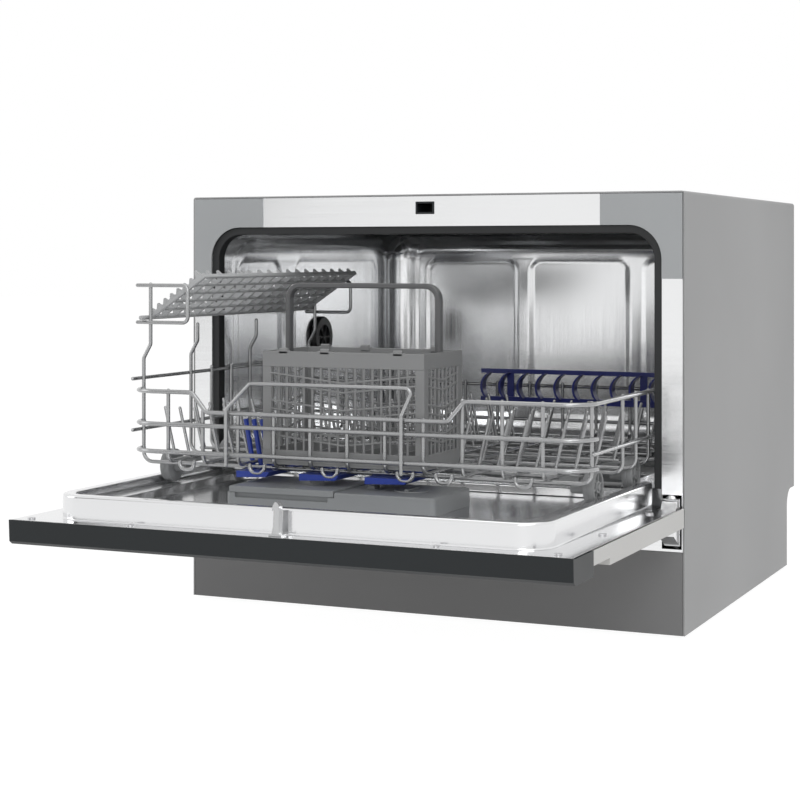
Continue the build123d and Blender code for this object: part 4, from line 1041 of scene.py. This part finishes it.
@dataclass
class Basket:
    """The cutlery basket: flat framed sides with tall slots, sagging cross lines, clips and a flat handle."""

    wires: WireTree
    wall: float = 2.0
    border: float = 9.0
    band_low: float = 14.0
    band_high: float = 15.0
    strut: float = 2.2
    cell: float = 7.0
    rim_z: float = 283.0
    line_r: float = 1.0
    sag: float = 6.0
    line_zs: tuple[float, ...] = (262.0, 253.0, 236.0, 228.0, 211.0, 203.0)
    clip_xs: tuple[float, ...] = (-70.0, -26.0, 50.0)
    handle_w: float = 10.0
    handle_t: float = 5.0
    handle_r: float = 16.0

    def build(self) -> None:
        """Builds the basket and its handle on the basket's body."""
        low, high = node_box("cutlery_basket")
        net = Moulding("basket_net", BASKET_PLASTIC)
        for y0, y1 in ((low.y, low.y + self.wall), (high.y - self.wall, high.y)):
            self.panel(net, low.x, high.x, low.z, lambda u, v, z, y0=y0: (u, y0 + v, z))
            self.clips(net, y0, y1, low.y)
        for x0 in (low.x, high.x - self.wall):
            self.panel(net, low.y + self.wall, high.y - self.wall, low.z,
                       lambda u, v, z, x0=x0: (x0 + v, u, z))
        self.floor(net, low, high)
        for share in (0.25, 0.5, 0.75):
            x = low.x + (high.x - low.x) * share
            for z in (low.z + 8.0, self.rim_z - 9.0):
                net.bar((x - 0.9, low.y + self.wall, z - 3.0), (x + 0.9, high.y - self.wall, z + 3.0))
        settle(net.done(), "basket", "light_plastic", "cutlery_basket")
        lines = self.wires.bake("basket_lines", self.lines(low, high), self.line_r, BASKET_PLASTIC)
        settle(lines, "basket", "light_plastic")
        self.handle()

    def panel(self, net: Moulding, start: float, stop: float, floor: float, place: Place) -> None:
        """One framed side with its upright struts."""
        low, high = floor + self.wall, self.rim_z
        net.bar((start, 0.0, low), (stop, self.wall, floor + self.band_low), 0.4, place)
        net.bar((start, 0.0, high - self.band_high), (stop, self.wall, high), 0.4, place)
        for u in (start, stop - self.border):
            net.bar((u, 0.0, floor + self.band_low), (u + self.border, self.wall, high - self.band_high), 0.4,
                    place)
        for u in strut_places(start + self.border, stop - self.border, self.cell, self.strut):
            net.bar((u - self.strut / 2.0, 0.15, floor + self.band_low),
                    (u + self.strut / 2.0, self.wall - 0.15, high - self.band_high), 0.4, place)

    def clips(self, net: Moulding, y0: float, y1: float, front: float) -> None:
        """The small clips that stand on the rim, each with its catch below."""
        inward = 2.0 if y0 == front else -2.0
        for x in self.clip_xs:
            net.bar((x - 4.5, min(y0, y0 + inward), self.rim_z - 3.0),
                    (x + 4.5, max(y1, y1 + inward), self.rim_z + 3.0), 1.0)
            net.bar((x - 7.5, y0 + 0.1, self.rim_z - 4.2), (x + 7.5, y1 - 0.1, self.rim_z + 0.7), 1.2)

    def floor(self, net: Moulding, low: Vector, high: Vector) -> None:
        """The basket's floor: a border and a grid of bars."""
        z0, z1 = low.z, low.z + self.wall
        for x in (low.x, high.x - self.border):
            net.bar((x, low.y, z0), (x + self.border, high.y, z1), 0.4)
        for y in (low.y, high.y - self.border):
            net.bar((low.x + self.border, y, z0), (high.x - self.border, y + self.border, z1), 0.4)
        for x in strut_places(low.x + self.border, high.x - self.border, self.cell, self.strut):
            net.bar((x - 1.0, low.y + self.border, z0), (x + 1.0, high.y - self.border, z1), 0.3)
        for y in strut_places(low.y + self.border, high.y - self.border, 2.0 * self.cell, self.strut):
            net.bar((low.x + self.border, y - 1.0, z0), (high.x - self.border, y + 1.0, z1), 0.3)

    def lines(self, low: Vector, high: Vector) -> list[Wire]:
        """The thin cross lines, which sag to the middle of each half of a side."""
        found = []
        inset = self.border - 1.0
        x0, x1 = low.x + inset, high.x - inset
        y0, y1 = low.y + inset, high.y - inset
        for z in self.line_zs:
            for y in (low.y + self.wall / 2.0, high.y - self.wall / 2.0):
                found.append(Wire([(x0, y, z), ((x0 + x1) / 2.0, y, z - self.sag * 1.4), (x1, y, z)], 18.0))
            for x in (low.x + self.wall / 2.0, high.x - self.wall / 2.0):
                found.append(Wire([(x, y0, z), (x, (y0 + y1) / 2.0, z - self.sag), (x, y1, z)], 8.0))
        return found

    def handle(self) -> None:
        """The flat arch over the basket, with a black bar at its top that paints the shade in its notch."""
        low, high = node_box("basket_handle")
        t = self.handle_t
        outer = arch(low.x, high.x, low.z, high.z, self.handle_r)
        inner = arch(low.x + t, high.x - t, low.z, high.z - t, self.handle_r - t)
        profile = ((0.0, 1.0), (1.0, 0.0), (self.handle_w - 1.0, 0.0), (self.handle_w, 1.0))

        def section(o: Flat, i: Flat) -> list[Point]:
            """One closed section between the outer and the inner line, with broken edges."""
            sides = []
            for a, b in ((o, i), (i, o)):
                sides.append([(a[0] + (b[0] - a[0]) * cut / t, low.y + y, a[1] + (b[1] - a[1]) * cut / t)
                              for y, cut in profile])
            return [*sides[0], *reversed(sides[1])]

        bow = Moulding("basket_arch", HANDLE_PLASTIC)
        bow.skin([section(o, i) for o, i in zip(outer, inner)])
        settle(bow.done(40.0), "basket", "light_plastic", "basket_handle")
        # Painted shade: the notch is a black bar, not a cut, so its dark is painted in.
        mid = (low.x + high.x) / 2.0
        notch = Moulding("arch_notch_painted_shade", BLACK)
        notch.bar((mid - 4.0, low.y + 2.0, high.z - 1.2), (mid + 4.0, high.y - 2.0, high.z - 0.05), 0.2)
        settle(notch.done(), "basket", "black_plastic")


@dataclass
class CupShelf:
    """The tilted cup shelf: cross bars, toothed ribs and its pivot pegs."""

    width: float = 76.0
    length: float = 352.0
    tilt: float = 34.0
    ribs: int = 17
    bars: int = 6
    teeth: int = 8
    rib_t: float = 2.6
    tooth_h: float = 6.5
    peg_r: float = 2.3
    pivot: tuple[float, float] = (-233.0, 312.5)
    middle: float = field(init=False)
    peg_span: float = field(init=False)

    def __post_init__(self) -> None:
        """Reads the shelf's middle, and how far its pegs reach from there, from the frame."""
        low, high = node_box("cup_shelf")
        self.middle = (low.y + high.y) / 2.0
        self.peg_span = (high.y - low.y) / 2.0

    def place(self, u: float, v: float, w: float) -> Point:
        """A point from the shelf's own axes: out from the pivot, along it, and up from its face."""
        a = math.radians(self.tilt)
        return (self.pivot[0] + u * math.cos(a) - w * math.sin(a), self.middle + v,
                self.pivot[1] + u * math.sin(a) + w * math.cos(a))

    def rib(self) -> list[Flat]:
        """Outline of a rib: flat below, toothed above."""
        pitch = (self.width - 4.0) / self.teeth
        found = [(0.5, -1.7), (self.width - 0.5, -1.7), (self.width - 0.5, 2.0)]
        for k in reversed(range(self.teeth)):
            u = 2.0 + pitch * k
            top = self.tooth_h + (3.0 if k == self.teeth - 1 else 0.0)
            found += [(u + pitch * 0.88, 1.9), (u + pitch * 0.62, top), (u + pitch * 0.46, top),
                      (u + 0.4, 1.9)]
        found.append((0.5, 1.7))
        return found

    def build(self) -> None:
        """Builds the shelf on its body."""
        shelf = Moulding("toothed_shelf", SHELF_PLASTIC)
        half = self.length / 2.0
        for k in range(self.bars):
            u = 1.7 + (self.width - 3.4) * k / (self.bars - 1)
            edge = k in (0, self.bars - 1)
            shelf.bar((u - 1.6, -half, -2.2), (u + 1.6, half, 2.2 if edge else 0.8), 0.7, self.place)
        outline = self.rib()
        pitch = (self.length - self.rib_t) / (self.ribs - 1)
        for k in range(self.ribs):
            v = -half + pitch * k
            shelf.prism(outline, v, v + self.rib_t, lambda u, w, height: self.place(u, height, w))
        for v in (-half, half - 4.0):
            shelf.bar((0.0, v - 0.5, -2.3), (self.width, v + 4.5, 2.6), 0.8, self.place)
        r, span = self.peg_r, self.peg_span
        profile = [(0.0, -span), (r - 0.6, -span), (r, -span + 0.6), (r, span - 0.6), (r - 0.6, span),
                   (0.0, span)]
        shelf.turned(profile, lambda a, b, height: self.place(a, height, b), 16)
        settle(shelf.done(), "cup_shelf", "light_plastic", "cup_shelf")


@dataclass
class DoorHook:
    """The hook that the door lock takes: a stem with a pointed head and a barb, on a small foot."""

    stem_hw: float = 2.0
    head_hw: float = 3.4
    foot_hw: float = 6.3
    thickness: float = 7.0

    def build(self) -> None:
        """Builds the hook in place of its CAD node."""
        low, high = node_box("latch_hook")
        y = (low.y + high.y) / 2.0 - self.thickness / 2.0
        s, h, top = self.stem_hw, self.head_hw, high.z
        outline = [(-s - 0.8, low.z + 1.5), (s + 1.2, low.z + 1.5), (s + 1.2, top - 4.0), (h, top - 3.6),
                   (0.8, top), (-0.8, top), (-h, top - 4.5), (-h, top - 8.0), (-s, top - 6.8)]
        hook = Moulding("hook_blade", HOOK_PLASTIC)
        hook.prism(outline, y, y + self.thickness, lambda u, v, height: (u, height, v))
        hook.prism([(-s - 2.6, low.z + 1.5), (-s - 0.9, low.z + 1.5), (-s - 0.9, low.z + 9.0)], y + 1.0,
                   y + self.thickness - 1.0, lambda u, v, height: (u, height, v))
        hook.bar((-self.foot_hw, low.y, low.z), (self.foot_hw, high.y, low.z + 1.8), 0.5)
        settle(hook.done(), "machine", "light_plastic", "latch_hook")


@dataclass
class HingeCovers:
    """The bright rounded covers where the door's arms enter the cabinet."""

    centre_x: float = 261.5
    half_width: float = 6.6
    depth: float = 5.0
    top: float = 141.0
    low: float = 131.5

    def build(self) -> None:
        """Builds both covers on the machine's body."""
        y = node_box("front_frame")[0].y + 1.0
        covers = Moulding("hinge_covers", POLISHED)
        r = self.half_width
        dome = arc((0.0, self.top - r), r, 0.0, 90.0, 8)[:-1]
        profile = [(0.0, self.low), (r - 0.6, self.low), (r, self.low + 0.6), *dome, (0.0, self.top)]
        for s in SIDES:
            x = s * self.centre_x
            covers.turned(profile, lambda a, b, height, x=x: (x + a, y + b * self.depth / r, height), 32)
        settle(covers.done(), "machine", "steel")


@dataclass
class Rollers:
    """One row of rollers: a thick tyre, six spokes in a recess, and a stepped hub."""

    number: int
    radius: float = 16.5
    recess_r: float = 12.6
    hub_r: float = 6.0
    recess: float = 4.4
    width: float = 11.0
    spokes: int = 6

    def profile(self) -> list[Flat]:
        """Half section of a roller, from the middle of its inner side to the middle of its hub."""
        r, w, rim, hub, floor = self.radius, self.width, self.recess_r, self.hub_r, self.width - self.recess
        return [(0.0, 0.2), (r - 1.6, 0.2), (r - 0.45, 0.65), (r, 1.8), (r, w * 0.5 - 0.5),
                (r - 0.35, w * 0.5), (r, w * 0.5 + 0.5), (r, w - 1.8), (r - 0.45, w - 0.6), (r - 1.6, w),
                (rim + 0.5, w), (rim, w - 0.5), (rim - 0.4, floor), (hub + 0.6, floor), (hub, w - 0.5),
                (hub - 0.5, w), (4.0, w), (3.6, w - 0.9), (0.0, w - 0.9)]

    def build(self) -> None:
        """Builds both rollers of the row on the row's body."""
        node = f"rollers_{self.number}"
        low, high = node_box(node)
        y, z = (low.y + high.y) / 2.0, (low.z + high.z) / 2.0
        inner = high.x - self.width
        row = Moulding(f"spoked_rollers_{self.number}", ROLLER_PLASTIC)
        for s in SIDES:

            def place(a: float, b: float, height: float, s: int = s) -> Point:
                """Turns the roller's own axes into the object's."""
                return (s * (inner + height), y + a, z + b)

            row.turned(self.profile(), place, 48)
            for k in range(self.spokes):
                a = 2.0 * math.pi * (k + 0.25) / self.spokes
                ca, sa = math.cos(a), math.sin(a)
                row.bar((self.hub_r - 0.8, -1.0, self.width - self.recess - 0.3),
                        (self.recess_r + 0.4, 1.0, self.width - 1.0), 0.3,
                        lambda u, v, h, ca=ca, sa=sa: place(u * ca - v * sa, u * sa + v * ca, h))
        settle(row.done(), node, "grey_plastic", node)


# ---------------------------------------------------------------- studio


@dataclass
class Studio:
    """Floor, lights and camera, none of which is part of the object."""

    lens: float = 83.80
    eye: Point = (0.75733, -1.84944, 0.37485)
    yaw: float = 23.95
    shift_y: float = -0.1808
    floor_tone: float = 0.9
    floor_side: float = 12.0
    card_tone: float = 0.05
    sky_light: float = 0.34
    glow: float = 1.14
    glow_share: float = 0.85

    def build(self) -> None:
        """Builds the whole studio."""
        self.camera()
        self.world()
        self.floor()
        self.lamp("key", (1.3, -1.6, 2.2), (0.0, 0.0, 0.15), 1.6, 15.0)
        self.lamp("fill", (-2.1, -1.1, 0.9), (0.0, 0.0, 0.15), 1.2, 7.0)
        self.lamp("top", (0.0, 0.3, 2.4), (0.0, 0.0, 0.2), 1.8, 8.0)
        self.lamp("front", (0.95, -2.3, 0.95), (-0.15, 0.2, 0.28), 0.9, 8.0)
        self.card("left_card", (-2.7, -2.3, 0.3), (-1.5, -2.3, 0.3), 1.2)
        bpy.context.scene.view_settings.view_transform = "Standard"
        LOG.info("studio is ready")

    def camera(self) -> None:
        """The camera at the photograph's place, level, with the frame lowered by shift."""
        data = bpy.data.cameras.new("camera")
        data.lens = self.lens
        data.sensor_width = 36.0
        data.shift_y = self.shift_y
        data.clip_start = 0.05
        camera = link_object("camera", data)
        camera.location = self.eye
        camera.rotation_euler = (math.radians(90.0), 0.0, math.radians(self.yaw))
        bpy.context.scene.camera = camera

    def seen_directly(self, nodes: bpy.types.Nodes, links: bpy.types.NodeLinks) -> bpy.types.NodeSocket:
        """A mask that is 1 for camera, glossy and transmission rays.

        Args:
            nodes: the tree's nodes.
            links: the tree's links.
        Returns:
            The mask's socket.
        """
        path = nodes.new("ShaderNodeLightPath")
        mask = path.outputs["Is Camera Ray"]
        for ray in ("Is Glossy Ray", "Is Transmission Ray"):
            both = nodes.new("ShaderNodeMath")
            both.operation = "MAXIMUM"
            links.new(mask, both.inputs[0])
            links.new(path.outputs[ray], both.inputs[1])
            mask = both.outputs["Value"]
        return mask

    def stage(self, name: str, corners: Sequence[Point], tone: float, roughness: float,
              specular: float) -> tuple[bpy.types.Material, bpy.types.Node]:
        """Puts up one flat face of the studio.

        Args:
            name: the face's name.
            corners: its corners in metres.
            tone: how light it is.
            roughness: how matt it is.
            specular: how much it shines.
        Returns:
            Its material, and the node that mixes its own shader with a second one.
        """
        mesh = bpy.data.meshes.new(name)
        mesh.from_pydata(corners, [], [tuple(range(len(corners)))])
        material = bpy.data.materials.new(name + "_matt")
        material.use_nodes = True
        mesh.materials.append(material)
        nodes, links = material.node_tree.nodes, material.node_tree.links
        shader, mix = nodes["Principled BSDF"], nodes.new("ShaderNodeMixShader")
        shader.inputs["Base Color"].default_value = (tone, tone, tone, 1.0)
        shader.inputs["Roughness"].default_value = roughness
        shader.inputs["Specular IOR Level"].default_value = specular
        links.new(shader.outputs["BSDF"], mix.inputs[1])
        links.new(mix.outputs["Shader"], nodes["Material Output"].inputs["Surface"])
        face = link_object(name, mesh)
        return material, mix

    def world(self) -> None:
        """A white surround for eye and metal, with a softer light on matt surfaces."""
        world = bpy.data.worlds.new("surround")
        bpy.context.scene.world = world
        world.use_nodes = True
        nodes, links = world.node_tree.nodes, world.node_tree.links
        back = nodes["Background"]
        mask = self.seen_directly(nodes, links)
        level = nodes.new("ShaderNodeMapRange")
        level.inputs["To Min"].default_value = self.sky_light
        level.inputs["To Max"].default_value = 1.0
        links.new(mask, level.inputs["Value"])
        links.new(level.outputs["Result"], back.inputs["Strength"])
        back.inputs["Color"].default_value = (1.0, 1.0, 1.0, 1.0)

    def floor(self) -> None:
        """A wide pale floor that keeps part of the object's shadow."""
        side = self.floor_side
        corners = [(-side, -side, 0.0), (side, -side, 0.0), (side, side, 0.0), (-side, side, 0.0)]
        material, mix = self.stage("floor", corners, self.floor_tone, 0.9, 0.0)
        nodes, links = material.node_tree.nodes, material.node_tree.links
        glow, share = nodes.new("ShaderNodeEmission"), nodes.new("ShaderNodeMath")
        share.operation = "MULTIPLY"
        share.inputs[1].default_value = self.glow_share
        glow.inputs["Strength"].default_value = self.glow
        links.new(self.seen_directly(nodes, links), share.inputs[0])
        links.new(share.outputs["Value"], mix.inputs["Fac"])
        links.new(glow.outputs["Emission"], mix.inputs[2])

    def card(self, name: str, left: Point, right: Point, height: float) -> None:
        """A dark upright card that the camera doesn't see, which gives the steel its greys.

        Args:
            name: the card's name.
            left: its lower left corner.
            right: its lower right corner.
            height: how far it reaches up.
        """
        corners = [left, right, (*right[:2], right[2] + height), (*left[:2], left[2] + height)]
        material, mix = self.stage(name, corners, self.card_tone, 1.0, 0.5)
        nodes, links = material.node_tree.nodes, material.node_tree.links
        links.new(nodes.new("ShaderNodeLightPath").outputs["Is Camera Ray"], mix.inputs["Fac"])
        links.new(nodes.new("ShaderNodeBsdfTransparent").outputs["BSDF"], mix.inputs[2])

    def lamp(self, name: str, place: Point, aim: Point, size: float, power: float) -> None:
        """A soft square light.

        Args:
            name: the lamp's name.
            place: where it hangs.
            aim: what it points at.
            size: the side of its square.
            power: its power in watts.
        """
        data = bpy.data.lights.new(name, "AREA")
        data.size = size
        data.energy = power
        lamp = link_object(name, data)
        lamp.location = place
        lamp.rotation_euler = (Vector(aim) - Vector(place)).to_track_quat("-Z", "Y").to_euler()


def main() -> None:
    """Builds the finishes, the pieces and the studio in order."""
    logging.basicConfig(level=logging.INFO, format="%(name)s: %(message)s")
    noise_group(Group.MOTTLE, {"Scale": 6.0, "Detail": 3.0}, {})
    noise_group(Group.BRUSHED, {"Along X": 1.0, "Along Y": 60.0, "Along Z": 60.0},
                {"Scale": 9.0, "Detail": 4.0})
    noise_group(Group.SPECKLE, {"Scale": 900.0, "Roughness": 0.5}, {"Detail": 1.0})
    dress_nodes(NODE_FINISH)
    Tub().build()
    DoorLiner().build()
    wires = WireTree()
    Rack(wires).build()
    Basket(wires).build()
    CupShelf().build()
    DoorHook().build()
    HingeCovers().build()
    for number in (1, 2, 3):
        Rollers(number).build()
    Studio().build()


if __name__ == "__main__":
    main()
